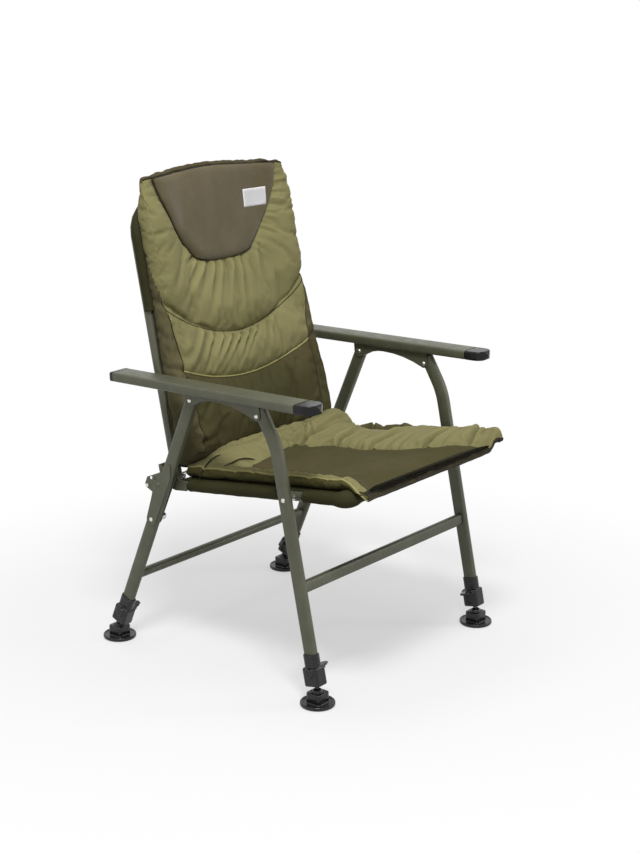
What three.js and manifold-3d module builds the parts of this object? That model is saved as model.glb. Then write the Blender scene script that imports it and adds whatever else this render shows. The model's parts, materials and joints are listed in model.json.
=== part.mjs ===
// Folding fishing chair with padded seat and back, flat armrests and four levelling feet.
// Millimetres, +Z up, and the chair faces -Y. Left and right are the sitter's: left is +X.
// Side view places are (y, z): y runs to the rear from the front foot balls, z up from the ground.
// The finished group is shifted along Y, so its origin is the bottom middle of its bounding box.
import * as THREE from "three";
import { mergeVertices } from "three/addons/utils/BufferGeometryUtils.js";
import Module from "manifold-3d";

const wasm = await Module();
wasm.setup();

const { PI, sin, cos, tan, atan2, hypot, abs, sign, sqrt, exp, min, max, round, floor } = Math;
const degrees = PI / 180;
const quarterTurn = PI / 2;

// Side view of the pivots
const ballHeight = 24.5;
const seatPivotY = 83;
const seatPivotZ = 420;
const armPivotY = 150;
const armPivotZ = 583;
const rearArmPivotZ = 585;
const hingeOverhang = 19.203;
const hingeRise = 9.166;
const linkPivotSetback = 23.5;
const linkPivotDrop = 82.5;
const rearFootSetback = 117;

// Widths: the seat rails' spacing, and what lies beside them
const railSpacing = 498;
const seatCollarLength = 16;
const backTubeGap = 0.5;
const armOutset = 6.5;

// Leg tubes: flat ovals, deep in side view and thin across the chair
const legDepth = 29;
const legThickness = 15;
const legWall = 1.5;
const legEdgeRound = 5;
const frontTopTilt = 31 * degrees;
const frontTopOffset = 9;
const frontTopReach = 9;
const frontBendReach = 26;
const plugHead = 4;
const plugEdge = 1.5;
const plugDepth = 4;
const frontCrossbarHeight = 240;
const rearCrossbarHeight = 159;

// Crossbars
const frontBarDepth = 16;
const frontBarHeight = 25;
const rearBarDiameter = 20;
const barWall = 1.5;
const barEdgeRound = 6;

// Seat frame
const railDiameter = 21;
const railWall = 1.5;
const railTilt = 7.4 * degrees;
const seatFrontReach = 134;
const seatRearReach = 327;
const seatCornerRadius = 48;

// Back frame
const backDiameter = 22;
const backWall = 1.5;
const backTilt = 11.7 * degrees;
const backTubeOffset = 5.2;
const backTubeHeight = 583;
const backTubeTail = 11;
const backCornerRadius = 62;

// Armrests
const armWidth = 52;
const armHeight = 20;
const armWall = 1.6;
const armRound = 5;
const armFrontReach = 115;
const armRearReach = 103.5;
const armTilt = 1.7 * degrees;
const armAbovePivot = 24.8;
const frontCapLength = 55;
const frontCapRound = 20;
const rearCapLength = 12;
const rearCapRound = 6;
const capPlugLength = 14;
const capEdgeRound = 3;

// Pressed plates: arm brackets, lock links and hinge plates
const plateThickness = 2;
const bracketFrontLobe = 10;
const bracketRearLobe = 13.5;
const bracketRearOverhang = 15;
const bracketFrontEdge = 6.5;
const bracketNeck = 10.5;
const bracketNeckRun = 57;
const bracketNeckLift = 1;
const bracketNeckPlaceShare = 0.62;
const hingeLobe = 12;
const hingePlateLap = 33;
const hingePlateShare = 0.85;
const hingePlateThickness = 2.5;
const stopHeight = 30;
const stopLength = 15;
const stopThickness = 4;

// Lock link, measured from its lower pivot: s along the rear leg, d to the rear of its axis
const linkLobe = 13;
const linkLength = 143;
const linkWebStart = 46;
const linkWebEnd = 110;
const linkWebGap = 0.6;
const linkFrontShoulder = 118;
const linkTopFront = 5;
const linkTopRear = 3;
const linkTopStart = 131;
const earReach = 44;
const earLow = 61;
const earHigh = 84;
const earRound = 6;
const earShoulder = 107;
const earShoulderOut = 21.6;
const slotLength = 21;
const slotWidth = 7;
const slotRise = 29;
const slotBehind = 28;
const tieRodDiameter = 8;
const tieRodAlong = 69.5;
const tieRodBehind = 34;
const tieRodOverhang = 5;

// Rivets and bolts
const rivetRadius = 3;
const rivetHeadRadius = 5.2;
const rivetHeadHeight = 2.6;
const boltRadius = 3.2;
const boltHeadRadius = 6.5;
const boltHeadHeight = 3;
const collarRadius = 7.5;
const capNutRadius = 8.5;
const capNutLength = 21;
const capNutNoseShare = 0.7;
const capNutBodyShare = 0.85;

// Clearances
const gap = 0.3;
const holeClearance = 0.3;
const slideClearance = 0.4;
const layerGap = 0.5;
const overrun = 8;
const weldGap = 1e-3;

// Levelling feet, measured along the leg's axis from the foot ball
const clampBottom = 17.5;
const clampHeight = 40;
const clampDepth = 38;
const clampWidth = 30;
const clampFloor = 6;
const clampEdgeRound = 4;
const sleeveHeight = 27;
const sleeveWall = 2.4;
const windowHeight = 19;
const windowWidth = 14;
const windowDepth = 3.5;
const windowRise = 8;
const bossRadius = 11;
const bossHeight = 3;
const bossRise = 29;
const innerLegLength = 225;
const innerLegStart = 16;
const stemRadius = 4;
const stemDepth = 8;
const ballRadius = 13;
const ballSlotClearance = 1.4;
const ballSlotTilt = 24 * degrees;
const socketClearance = 0.6;
const cupHalf = 18;
const cupTop = 29;
const cupEdgeRound = 2;
const discRadius = 36.5;
const discRimHeight = 9;
const discFloor = 6;
const discRimWidth = 4;
const leverReach = 24;
const leverWidth = 20;
const leverTipWidth = 8;
const leverThickness = 4.5;
const leverDrum = 3.6;
const leverRise = 36;
const leverPinRadius = 1.5;
const leverEar = 4;
const leverEdge = 1;

// Cloth and pads
const sleeveThickness = 1.7;
const clothGap = 0.3;
const clothThickness = 3;
const seatSleeveInset = 35;
const seatClothInset = 9;
const backSleeveLow = 362;
const backClothLow = 66;
const pivotClothCut = 11;

const seatPadFrontOverhang = 44;
const seatPadRearInset = 9;
const seatPadSideInset = 9;
const seatPadDepth = 15;
const seatSideDepth = 28;
const seatBandDepth = 46;
const seatBolsterSlope = 116;
const seatBandSlope = 128;
const bolsterCrest = 24;
const seatSeamInset = 98;
const seatBandSeamInset = 104;
const seatChannelDepth = 3;
const channelWidth = 9;
const padDrawIn = 7;
const padCornerPull = 16;
const padBulge = 5;
const padEdgeDrop = 8;

const backPadLow = 48;
const backPadTopOverhang = 51;
const backPadSideOverlap = 9;
const backPadTopTaper = 10;
const backPadDepth = 38;
const backHeadDepth = 13;
const backSideDepth = 42;
const backTopDepth = 20;
const backLowSideDepth = 60;
const backLowSlope = 260;
const backBolsterSlope = 126;
const backTopSlope = 80;
const headSlope = 150;
const backSeamLow = 187;
const backSeamLowSag = 52;
const backSeamHigh = 284;
const backSeamHighSag = 99;
const backChannelDepth = 6;

const headTopInset = 14;
const headHeight = 177;
const headSideInset = 40;
const headEdgeDepth = 4;
const headThickness = 10;
const headLowShare = 0.48;
const headFlareShare = 0.75;

// Facets
const tubeSides = 12;
const holeSides = 10;
const headSides = 10;
const cornerSteps = 5;
const arcSteps = 4;
const roundSteps = 2;
const ballSides = 16;
const discSides = 24;
const barSides = 16;
const seatColumnCounts = [3, 1, 1, 8, 1, 1, 3];
const seatRowCounts = [11, 1, 1, 5];
const backColumnCounts = [18];
const backRowCounts = [4, 1, 1, 3, 1, 1, 7];
const headColumns = 12;
const headRows = 10;

// Places worked out from the driving dimensions
const place = (y, z) => new THREE.Vector2(y, z);
const space = (x, y, z) => new THREE.Vector3(x, y, z);
const legHalfX = legThickness / 2;
const legHalf = legDepth / 2;
const railRadius = railDiameter / 2;
const backRadius = backDiameter / 2;
const railX = railSpacing / 2;
const legX = railX + railRadius + seatCollarLength + legHalfX;
const backX = railX - railRadius - backTubeGap - backRadius;
const armX = legX + armOutset;
const seatPoint = (u, n) => place(
  seatPivotY + u * cos(railTilt) + n * sin(railTilt),
  seatPivotZ - u * sin(railTilt) + n * cos(railTilt),
);
const seatPivot = place(seatPivotY, seatPivotZ);
const hinge = seatPoint(seatRearReach + hingeOverhang, hingeRise);
const linkPivot = place(hinge.x + linkPivotSetback, hinge.y - linkPivotDrop);
const frontBall = place(0, ballHeight);
const rearBall = place(linkPivot.x + rearFootSetback, ballHeight);
const armPivot = place(armPivotY, armPivotZ);
const frontTilt = atan2(seatPivotY - frontBall.x, seatPivotZ - ballHeight);
const rearTilt = atan2(rearFootSetback, linkPivot.y - ballHeight);
const rearArmPivot = place(linkPivot.x - tan(rearTilt) * (rearArmPivotZ - linkPivot.y), rearArmPivotZ);
const outerLayer = legX + legHalfX + layerGap;
const innerLayer = legX - legHalfX - layerGap - plateThickness;

// Unit directions in side view: up along each leg, and to the rear of it
const frontUp = place(sin(frontTilt), cos(frontTilt));
const topUp = place(sin(frontTopTilt), cos(frontTopTilt));
const rearUp = place(-sin(rearTilt), cos(rearTilt));
const behind = (up) => place(up.y, -up.x);
const along = (start, up, s, d = 0) =>
  start.clone().addScaledVector(up, s).addScaledVector(behind(up), d);

// Materials
const finish = (color, roughness, metalness) =>
  new THREE.MeshStandardMaterial({ color, roughness, metalness });
const frameFinish = finish("#5b5d4d", 0.5, 0.3);
const plasticFinish = finish("#2b2c2b", 0.5, 0);
const zincFinish = finish("#c9c9c4", 0.35, 0.9);
const lightFabric = finish("#8c8a5b", 0.9, 0);
const darkFabric = finish("#46432b", 0.9, 0);
const fleeceFabric = finish("#65594a", 1, 0);

// Booleans
function toSolid(geometry) {
  const bare = new THREE.BufferGeometry();
  bare.setAttribute("position", geometry.getAttribute("position"));
  bare.setIndex(geometry.index);
  const merged = mergeVertices(bare, weldGap);
  const vertProperties = merged.getAttribute("position").array;
  const triVerts = new Uint32Array(merged.index.array);
  return new wasm.Manifold(new wasm.Mesh({ numProp: 3, vertProperties, triVerts }));
}

function toGeometry(body) {
  const mesh = body.getMesh();
  const geometry = new THREE.BufferGeometry();
  const positions = new Float32Array(mesh.vertProperties);
  geometry.setAttribute("position", new THREE.BufferAttribute(positions, 3));
  geometry.setIndex(new THREE.BufferAttribute(new Uint32Array(mesh.triVerts), 1));
  geometry.computeVertexNormals();
  return geometry;
}

function join(...pieces) {
  return toGeometry(pieces.map(toSolid).reduce((sum, piece) => sum.add(piece)));
}

function cut(base, ...tools) {
  return toGeometry(tools.map(toSolid).reduce((rest, tool) => rest.subtract(tool), toSolid(base)));
}

function common(a, b) {
  return toGeometry(toSolid(a).intersect(toSolid(b)));
}

// A side view outline made into a plate that runs along X, with its edges rounded
const sideBasis = new THREE.Matrix4().makeBasis(space(0, 1, 0), space(0, 0, 1), space(1, 0, 0));
function sidePlate(shape, xFrom, thickness, edge = 0) {
  const geometry = new THREE.ExtrudeGeometry(shape, {
    depth: thickness - 2 * edge,
    steps: 1,
    bevelEnabled: edge > 0,
    bevelThickness: edge,
    bevelSize: edge,
    bevelOffset: -edge,
    bevelSegments: roundSteps,
    curveSegments: arcSteps,
  });
  geometry.translate(0, 0, edge);
  return geometry.applyMatrix4(sideBasis).translate(xFrom, 0, 0);
}

// A rounded rectangle, centred, for sections and plans
function roundedRectangle(width, height, radius) {
  const x = width / 2 - radius;
  const y = height / 2 - radius;
  return new THREE.Shape()
    .absarc(x, -y, radius, -quarterTurn, 0, false)
    .absarc(x, y, radius, 0, quarterTurn, false)
    .absarc(-x, y, radius, quarterTurn, PI, false)
    .absarc(-x, -y, radius, PI, PI + quarterTurn, false)
    .closePath();
}

// A prism that stands on z = 0, from a plan outline in (x, y)
function upright(shape, height, edge = 0, arcs = roundSteps / 2) {
  const geometry = new THREE.ExtrudeGeometry(shape, {
    depth: height - 2 * edge,
    steps: 1,
    bevelEnabled: edge > 0,
    bevelThickness: edge,
    bevelSize: edge,
    bevelOffset: -edge,
    bevelSegments: roundSteps,
    curveSegments: arcs,
  });
  return geometry.translate(0, 0, edge);
}

function box(width, depth, height) {
  return new THREE.BoxGeometry(width, depth, height).translate(0, 0, height / 2);
}

// A round bar along X from xFrom to xTo, through a side view place
function pin(center, radius, xFrom, xTo, sides = holeSides) {
  const length = xTo - xFrom;
  return new THREE.CylinderGeometry(radius, radius, length, sides)
    .rotateZ(-quarterTurn)
    .translate(xFrom + length / 2, center.x, center.y);
}

// A turned piece along X: the profile is a list of [x, radius] from one end to the other
function turned(center, profile, sides = headSides) {
  const points = profile.map(([x, radius]) => new THREE.Vector2(radius, x));
  return new THREE.LatheGeometry(points, sides)
    .rotateZ(-quarterTurn)
    .translate(0, center.x, center.y);
}

// The outline of a strip of constant width along a centre line
function strip(line, half) {
  const sides = line.map((p, i) => {
    const before = line[max(i - 1, 0)];
    const after = line[min(i + 1, line.length - 1)];
    const inward = p.clone().sub(before).normalize();
    const outward = after.clone().sub(p).normalize();
    const tangent = inward.clone().add(outward).normalize();
    const width = half / tangent.dot(i ? inward : outward);
    return [along(p, tangent, 0, width), along(p, tangent, 0, -width)];
  });
  return new THREE.Shape([...sides.map((s) => s[0]), ...sides.map((s) => s[1]).reverse()]);
}

// A corner of a side view line rounded by a curve that starts and ends at the given reach
function roundedCorner(before, corner, after, reach) {
  const start = corner.clone().add(before.clone().sub(corner).setLength(reach));
  const end = corner.clone().add(after.clone().sub(corner).setLength(reach));
  return new THREE.QuadraticBezierCurve(start, corner, end).getPoints(cornerSteps);
}

// A path whose points are used one by one, so that straight runs need no steps
class Route extends THREE.Curve {
  constructor(points) {
    super();
    this.points = points;
  }
  getPoint(t, target = new THREE.Vector3()) {
    const last = this.points.length - 1;
    const i = min(floor(t * last), last - 1);
    return target.lerpVectors(this.points[i], this.points[i + 1], t * last - i);
  }
  getPointAt(u, target) {
    return this.getPoint(u, target);
  }
  getTangentAt(u, target = new THREE.Vector3()) {
    const last = this.points.length - 1;
    const i = round(u * last);
    const before = this.points[max(i - 1, 0)];
    const here = this.points[i];
    const after = this.points[min(i + 1, last)];
    const inward = here.clone().sub(before).normalize();
    const outward = after.clone().sub(here).normalize();
    return target.addVectors(inward, outward).normalize();
  }
}

function tube(points, radius, sides = tubeSides) {
  const ring = Array.from({ length: sides }, (_, i) => {
    const turn = (2 * PI * (i + 1 / 2)) / sides;
    return new THREE.Vector2(radius * cos(turn), radius * sin(turn));
  });
  return new THREE.ExtrudeGeometry(new THREE.Shape(ring), {
    steps: points.length - 1,
    extrudePath: new Route(points),
  });
}

// A U bow in the plane of x and a second direction: up one side, across and down the other
function bow(halfWidth, endReach, bowReach, radius, toSpace) {
  const direction = sign(bowReach - endReach);
  const arc = (centerX, from, to) =>
    Array.from({ length: cornerSteps + 1 }, (_, i) => {
      const turn = from + ((to - from) * i) / cornerSteps;
      const reach = bowReach - direction * radius * (1 - sin(turn));
      return toSpace(centerX + radius * cos(turn), reach);
    });
  return [
    toSpace(-halfWidth, endReach),
    ...arc(radius - halfWidth, PI, quarterTurn),
    ...arc(halfWidth - radius, quarterTurn, 0),
    toSpace(halfWidth, endReach),
  ];
}

// The same bow, with both its ends run on past the ends of the tube
function lengthened(points, extra) {
  const last = points.length - 1;
  const start = points[0].clone().sub(points[1]).setLength(extra).add(points[0]);
  const end = points[last].clone().sub(points[last - 1]).setLength(extra).add(points[last]);
  return [start, ...points.slice(1, last), end];
}

// Seat frame, in the seat's own plane: origin at the front pivot, y to the rear, z square to it
const seatBow = bow(railX, seatRearReach, -seatFrontReach, seatCornerRadius, (x, y) =>
  space(x, y, 0),
);
const seatSides = [-1, 1];
function seatFrame() {
  const bore = tube(lengthened(seatBow, overrun), railRadius - railWall);
  const holes = seatSides.map((side) =>
    pin(place(0, 0), boltRadius + holeClearance, side * railX - railDiameter, side * railX + railDiameter),
  );
  return cut(tube(seatBow, railRadius), bore, ...holes);
}

// Back frame, in the back's own frame: origin at the hinge, z up along the tube, -y to the front
const backBow = bow(backX, -backTubeTail, backTubeHeight, backCornerRadius, (x, z) =>
  space(x, backTubeOffset, z),
);

function backFrame() {
  const bore = tube(lengthened(backBow, overrun), backRadius - backWall);
  const holes = seatSides.map((side) =>
    pin(place(0, 0), boltRadius + holeClearance, side * backX - backDiameter, side * backX + backDiameter),
  );
  return cut(tube(backBow, backRadius), bore, ...holes);
}

// Front leg: straight from the foot to the bend, then leaning back to the armrest pivot
const topAxis = along(armPivot, topUp, 0, -frontTopOffset);
const bendRun = ((topAxis.x - frontBall.x) * frontUp.y - (topAxis.y - frontBall.y) * frontUp.x)
  / (topUp.x * frontUp.y - topUp.y * frontUp.x);
const bend = along(topAxis, topUp, -bendRun);
const tubeEnd = clampBottom + clampFloor + gap;
const frontLow = along(frontBall, frontUp, tubeEnd);
const frontHigh = along(topAxis, topUp, frontTopReach);
const frontLine = [frontLow, ...roundedCorner(frontLow, bend, frontHigh, frontBendReach), frontHigh];
const rearLow = along(rearBall, rearUp, tubeEnd);
const rearLine = [rearLow, rearArmPivot];

// The rear leg's top is rounded about its pivot, so it clears the bracket as it turns
function rearOutline() {
  const turn = atan2(rearUp.y, rearUp.x);
  const shape = new THREE.Shape([
    along(rearLow, rearUp, 0, -legHalf),
    along(rearLow, rearUp, 0, legHalf),
  ]);
  shape.absarc(rearArmPivot.x, rearArmPivot.y, legHalf, turn - quarterTurn, turn + quarterTurn, false);
  return shape.closePath();
}

// A flat oval tube: a rounded run that is longer than the leg, bored out and trimmed to its outline
function legTube(line, outline, extra, pivots) {
  const last = line.length - 1;
  const runPast = (reach) => [
    along(line[0], line[1].clone().sub(line[0]).normalize(), -reach),
    ...line.slice(1, last),
    along(line[last], line[last].clone().sub(line[last - 1]).normalize(), reach),
  ];
  const inner = legX - legHalfX;
  const outside = sidePlate(strip(runPast(extra), legHalf), inner, legThickness, legEdgeRound);
  const trim = sidePlate(outline, inner - overrun, legThickness + 2 * overrun);
  const bore = sidePlate(
    strip(runPast(extra + overrun), legHalf - legWall),
    inner + legWall,
    legThickness - 2 * legWall,
    legEdgeRound - legWall,
  );
  const holes = pivots.map((pivot) =>
    pin(pivot, rivetRadius + holeClearance, inner - overrun, inner + legThickness + overrun),
  );
  return cut(common(outside, trim), bore, ...holes);
}

function legPlug() {
  const start = along(frontHigh, topUp, gap);
  const capLine = [start, along(start, topUp, plugHead)];
  const head = sidePlate(strip(capLine, legHalf), legX - legHalfX, legThickness, plugEdge);
  const spigotLine = [along(start, topUp, -plugDepth), along(start, topUp, plugHead / 2)];
  const half = legHalf - legWall - slideClearance - plugEdge;
  const width = legThickness - 2 * (legWall + slideClearance + plugEdge);
  const spigot = sidePlate(strip(spigotLine, half), legX - width / 2, width, plugEdge);
  return join(head, spigot);
}

// Crossbars run between the inner faces of the legs
function crossbar(center, up, section, arcs) {
  const half = legX - legHalfX - gap;
  const geometry = new THREE.ExtrudeGeometry(section, {
    depth: 2 * half,
    steps: 1,
    bevelEnabled: false,
    curveSegments: arcs,
  });
  const turn = atan2(up.y, up.x) - quarterTurn;
  geometry.applyMatrix4(sideBasis).translate(-half, 0, 0).rotateX(turn);
  return geometry.translate(0, center.x, center.y);
}

function frontCrossbar() {
  const section = roundedRectangle(frontBarDepth, frontBarHeight, barEdgeRound);
  const bore = roundedRectangle(
    frontBarDepth - 2 * barWall,
    frontBarHeight - 2 * barWall,
    barEdgeRound - barWall,
  );
  section.holes.push(bore);
  const center = along(frontBall, frontUp, (frontCrossbarHeight - ballHeight) / cos(frontTilt));
  return crossbar(center, frontUp, section, roundSteps);
}

function rearCrossbar() {
  const radius = rearBarDiameter / 2;
  const section = new THREE.Shape().absarc(0, 0, radius, 0, 2 * PI, false);
  section.holes.push(new THREE.Path().absarc(0, 0, radius - barWall, 0, 2 * PI, false));
  const center = along(rearBall, rearUp, (rearCrossbarHeight - ballHeight) / cos(rearTilt));
  return crossbar(center, rearUp, section, barSides / 2);
}

// Armrest, in its own frame: origin under the arm above the front pivot, y to the rear
const armFront = -armFrontReach / cos(armTilt);
const armRear = (hinge.x + armRearReach - armPivotY) / cos(armTilt);
const armBasis = new THREE.Matrix4().makeBasis(space(1, 0, 0), space(0, 0, 1), space(0, -1, 0));

function armrest() {
  const section = roundedRectangle(armWidth, armHeight, armRound);
  section.holes.push(
    roundedRectangle(armWidth - 2 * armWall, armHeight - 2 * armWall, armRound - armWall),
  );
  const geometry = new THREE.ExtrudeGeometry(section, {
    depth: armRear - armFront,
    steps: 1,
    bevelEnabled: false,
    curveSegments: roundSteps,
  });
  return geometry.applyMatrix4(armBasis).translate(0, armRear, armHeight / 2);
}

// An end cap: a rounded nose that runs on from the extrusion, and a plug that fits its bore
function armCap(end, direction, length, radius) {
  const half = armWidth / 2;
  const nose = new THREE.Shape([
    new THREE.Vector2(-half, 0),
    new THREE.Vector2(half, 0),
  ]);
  nose.absarc(half - radius, length - radius, radius, 0, quarterTurn, false);
  nose.absarc(radius - half, length - radius, radius, quarterTurn, PI, false);
  nose.closePath();
  const head = upright(nose, armHeight, capEdgeRound, roundSteps);
  const width = armWidth - 2 * (armWall + slideClearance);
  const height = armHeight - 2 * (armWall + slideClearance);
  const plug = new THREE.ExtrudeGeometry(
    roundedRectangle(width, height, armRound - armWall),
    { depth: capPlugLength + gap + length / 2, steps: 1, bevelEnabled: false, curveSegments: 1 },
  );
  plug.applyMatrix4(armBasis).translate(0, length / 2, armHeight / 2);
  const cap = join(head, plug);
  if (direction < 0) cap.rotateZ(PI);
  return cap.translate(0, end + direction * gap, 0);
}

// Arched bracket under the armrest: a channel whose two plates hold the leg pivots
const underArm = (y) => armPivotZ + armAbovePivot - (y - armPivotY) * tan(armTilt);

function bracketOutline() {
  const front = armPivotY - bracketFrontEdge;
  const rear = rearArmPivot.x + bracketRearOverhang;
  const neckY = armPivotY + (rearArmPivot.x - armPivotY) * bracketNeckPlaceShare;
  const neck = place(neckY, underArm(neckY) - bracketNeck);
  const shape = new THREE.Shape();
  shape.moveTo(front, underArm(front) - gap);
  shape.lineTo(armPivotY - bracketFrontLobe, armPivotZ);
  shape.absarc(armPivotY, armPivotZ, bracketFrontLobe, PI, PI + quarterTurn * 1.35, false);
  shape.quadraticCurveTo(neck.x - bracketNeckRun, neck.y + bracketNeckLift, neck.x, neck.y);
  shape.quadraticCurveTo(
    neck.x + bracketNeckRun / 2,
    neck.y,
    rearArmPivot.x - bracketRearLobe * cos(quarterTurn / 2),
    rearArmPivot.y - bracketRearLobe * sin(quarterTurn / 2),
  );
  shape.absarc(rearArmPivot.x, rearArmPivot.y, bracketRearLobe, PI + quarterTurn / 2, 2 * PI, false);
  shape.lineTo(rear, underArm(rear) - gap);
  shape.closePath();
  return shape;
}

function armBracket() {
  const outline = bracketOutline();
  const front = armPivotY - bracketFrontEdge;
  const rear = rearArmPivot.x + bracketRearOverhang;
  const middle = gap + plateThickness / 2;
  const webLine = [front, rear].map((y) => place(y, underArm(y) - middle));
  const reach = 2 * (outerLayer + plateThickness - legX);
  const web = sidePlate(strip(webLine, plateThickness / 2), innerLayer, reach);
  const plates = [innerLayer, outerLayer].map((x) => sidePlate(outline, x, plateThickness));
  const holes = [armPivot, rearArmPivot].map((pivot) =>
    pin(pivot, rivetRadius + holeClearance, innerLayer - overrun, outerLayer + overrun),
  );
  return cut(join(web, ...plates), ...holes);
}

// Lock link: a channel behind the rear leg, with an ear for the slot and the tie rod
const onLink = (s, d) => along(linkPivot, rearUp, s, d);

function linkOutline() {
  const turn = atan2(rearUp.y, rearUp.x);
  const points = [
    onLink(linkFrontShoulder, -legHalf),
    onLink(linkLobe, -linkLobe),
  ];
  const shape = new THREE.Shape(points);
  shape.absarc(linkPivot.x, linkPivot.y, linkLobe, turn + quarterTurn, turn + 3 * quarterTurn, false);
  const web = legHalf + linkWebGap + plateThickness;
  const rest = [
    onLink(linkWebStart, web),
    onLink(earLow, web + plateThickness),
    onLink(earLow, earReach - earRound),
    onLink(earLow + earRound, earReach),
    onLink(earHigh, earReach),
    onLink(earShoulder, earShoulderOut),
    onLink(linkTopStart, linkTopRear),
    onLink(linkLength, linkTopRear),
    onLink(linkLength, -linkTopFront),
  ];
  rest.forEach((p) => shape.lineTo(p.x, p.y));
  shape.closePath();
  return shape;
}

function lockLink() {
  const outline = linkOutline();
  const webPlace = legHalf + linkWebGap + plateThickness / 2;
  const webLine = [onLink(linkWebStart, webPlace), onLink(linkWebEnd, webPlace)];
  const reach = outerLayer + plateThickness - innerLayer;
  const web = sidePlate(strip(webLine, plateThickness / 2), innerLayer, reach);
  const plates = [innerLayer, outerLayer].map((x) => sidePlate(outline, x, plateThickness));
  const from = innerLayer - overrun;
  const to = outerLayer + plateThickness + overrun;
  const slotEnds = [-1, 1].map((end) =>
    place(
      onLink(earLow + slotRise, slotBehind).x + (end * (slotLength - slotWidth)) / 2,
      onLink(earLow + slotRise, slotBehind).y,
    ),
  );
  const slot = sidePlate(strip(slotEnds, slotWidth / 2), from, to - from);
  const rounds = slotEnds.map((p) => pin(p, slotWidth / 2, from, to));
  const rod = pin(onLink(tieRodAlong, tieRodBehind), tieRodDiameter / 2 + holeClearance, from, to);
  const bolt = pin(linkPivot, rivetRadius + holeClearance, from, to);
  const plateFace = outerLayer + plateThickness;
  const head = turned(hinge, [
    [outerLayer + plateThickness / 2, 0],
    [outerLayer + plateThickness / 2, rivetHeadRadius],
    [plateFace, rivetHeadRadius],
    [plateFace + rivetHeadHeight, rivetHeadRadius / 2],
    [plateFace + rivetHeadHeight, 0],
  ]);
  return cut(join(web, ...plates, head), slot, ...rounds, rod, bolt);
}

function tieRod() {
  const reach = outerLayer + plateThickness + tieRodOverhang;
  return pin(onLink(tieRodAlong, tieRodBehind), tieRodDiameter / 2, -reach, reach, headSides);
}

// Hinge plate on the outside of the seat rail, with a tab that stops the back from behind
const hingePlateX = railX + railRadius + gap;

function hingePlate() {
  const low = seatPoint(seatRearReach - hingePlateLap, -railRadius * hingePlateShare);
  const high = seatPoint(seatRearReach - hingePlateLap, railRadius * hingePlateShare);
  const end = seatPoint(seatRearReach, -railRadius * hingePlateShare);
  const backUp = place(sin(backTilt), cos(backTilt));
  const stopD = backTubeOffset + backRadius + gap + stopThickness / 2;
  const stopPoint = (s, d) => along(hinge, backUp, s, stopD + d);
  const shape = new THREE.Shape([high, low, end]);
  shape.absarc(hinge.x, hinge.y, hingeLobe, -quarterTurn, 0, false);
  const half = stopThickness / 2;
  const corners = [
    stopPoint(stopHeight - stopLength / 2, half),
    stopPoint(stopHeight + stopLength / 2, half),
    stopPoint(stopHeight + stopLength / 2, -half),
    along(hinge, backUp, hingeLobe, -hingeLobe),
  ];
  corners.forEach((p) => shape.lineTo(p.x, p.y));
  shape.closePath();
  const plate = sidePlate(shape, hingePlateX, hingePlateThickness);
  const tabLine = [-1, 1].map((way) => stopPoint(stopHeight + (way * stopLength) / 2, 0));
  const tabFrom = backX - backRadius / 2;
  const tab = sidePlate(
    strip(tabLine, stopThickness / 2),
    tabFrom,
    hingePlateX + hingePlateThickness / 2 - tabFrom,
  );
  const hole = pin(hinge, boltRadius + holeClearance, hingePlateX - overrun, hingePlateX + overrun);
  return cut(join(plate, tab), hole);
}

// Rivet through a channel and the leg in it, with a domed head on both sides
function rivet(center, xFrom, xTo) {
  return turned(center, [
    [xFrom - rivetHeadHeight, 0],
    [xFrom - rivetHeadHeight, rivetHeadRadius / 2],
    [xFrom - gap, rivetHeadRadius],
    [xFrom - gap, rivetRadius],
    [xTo + gap, rivetRadius],
    [xTo + gap, rivetHeadRadius],
    [xTo + rivetHeadHeight, rivetHeadRadius / 2],
    [xTo + rivetHeadHeight, 0],
  ]);
}

const channelEnds = [innerLayer, outerLayer + plateThickness];

// Front seat pivot: through the rail, with a collar that holds the leg off it
function seatRivet() {
  const railOuter = railX + railRadius;
  const legInner = legX - legHalfX;
  const legOuter = legX + legHalfX;
  return turned(seatPivot, [
    [railX - railRadius - rivetHeadHeight, 0],
    [railX - railRadius - rivetHeadHeight, rivetHeadRadius / 2],
    [railX - railRadius - gap, rivetHeadRadius],
    [railX - railRadius - gap, rivetRadius],
    [railOuter + gap, rivetRadius],
    [railOuter + gap, collarRadius],
    [legInner - gap, collarRadius],
    [legInner - gap, rivetRadius],
    [legOuter + gap, rivetRadius],
    [legOuter + gap, rivetHeadRadius],
    [legOuter + rivetHeadHeight, rivetHeadRadius / 2],
    [legOuter + rivetHeadHeight, 0],
  ]);
}

// Link bolt: a domed head outside, and a long black cap nut inside
function linkBolt() {
  const [inner, outer] = channelEnds;
  return turned(linkPivot, [
    [inner - gap - capNutLength, 0],
    [inner - gap - capNutLength, capNutRadius * capNutNoseShare],
    [inner - gap - capNutLength * capNutBodyShare, capNutRadius],
    [inner - gap, capNutRadius],
    [inner - gap, rivetRadius],
    [outer + gap, rivetRadius],
    [outer + gap, rivetHeadRadius],
    [outer + rivetHeadHeight, rivetHeadRadius / 2],
    [outer + rivetHeadHeight, 0],
  ]);
}

// Hinge bolt: carries the back tube inside the hinge plate, and ends short of the lock link
function hingeBolt() {
  const plateOuter = hingePlateX + hingePlateThickness;
  return turned(hinge, [
    [backX - backRadius - gap - boltHeadHeight, 0],
    [backX - backRadius - gap - boltHeadHeight, boltHeadRadius],
    [backX - backRadius - gap, boltHeadRadius],
    [backX - backRadius - gap, boltRadius],
    [backX + backRadius + gap, boltRadius],
    [backX + backRadius + gap, collarRadius],
    [hingePlateX - gap, collarRadius],
    [hingePlateX - gap, boltRadius],
    [plateOuter + gap, boltRadius],
    [plateOuter + gap, boltHeadRadius],
    [plateOuter + gap + boltHeadHeight, boltHeadRadius],
    [plateOuter + gap + boltHeadHeight, boltRadius],
    [innerLayer - gap, boltRadius],
    [innerLayer - gap, 0],
  ]);
}

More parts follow.
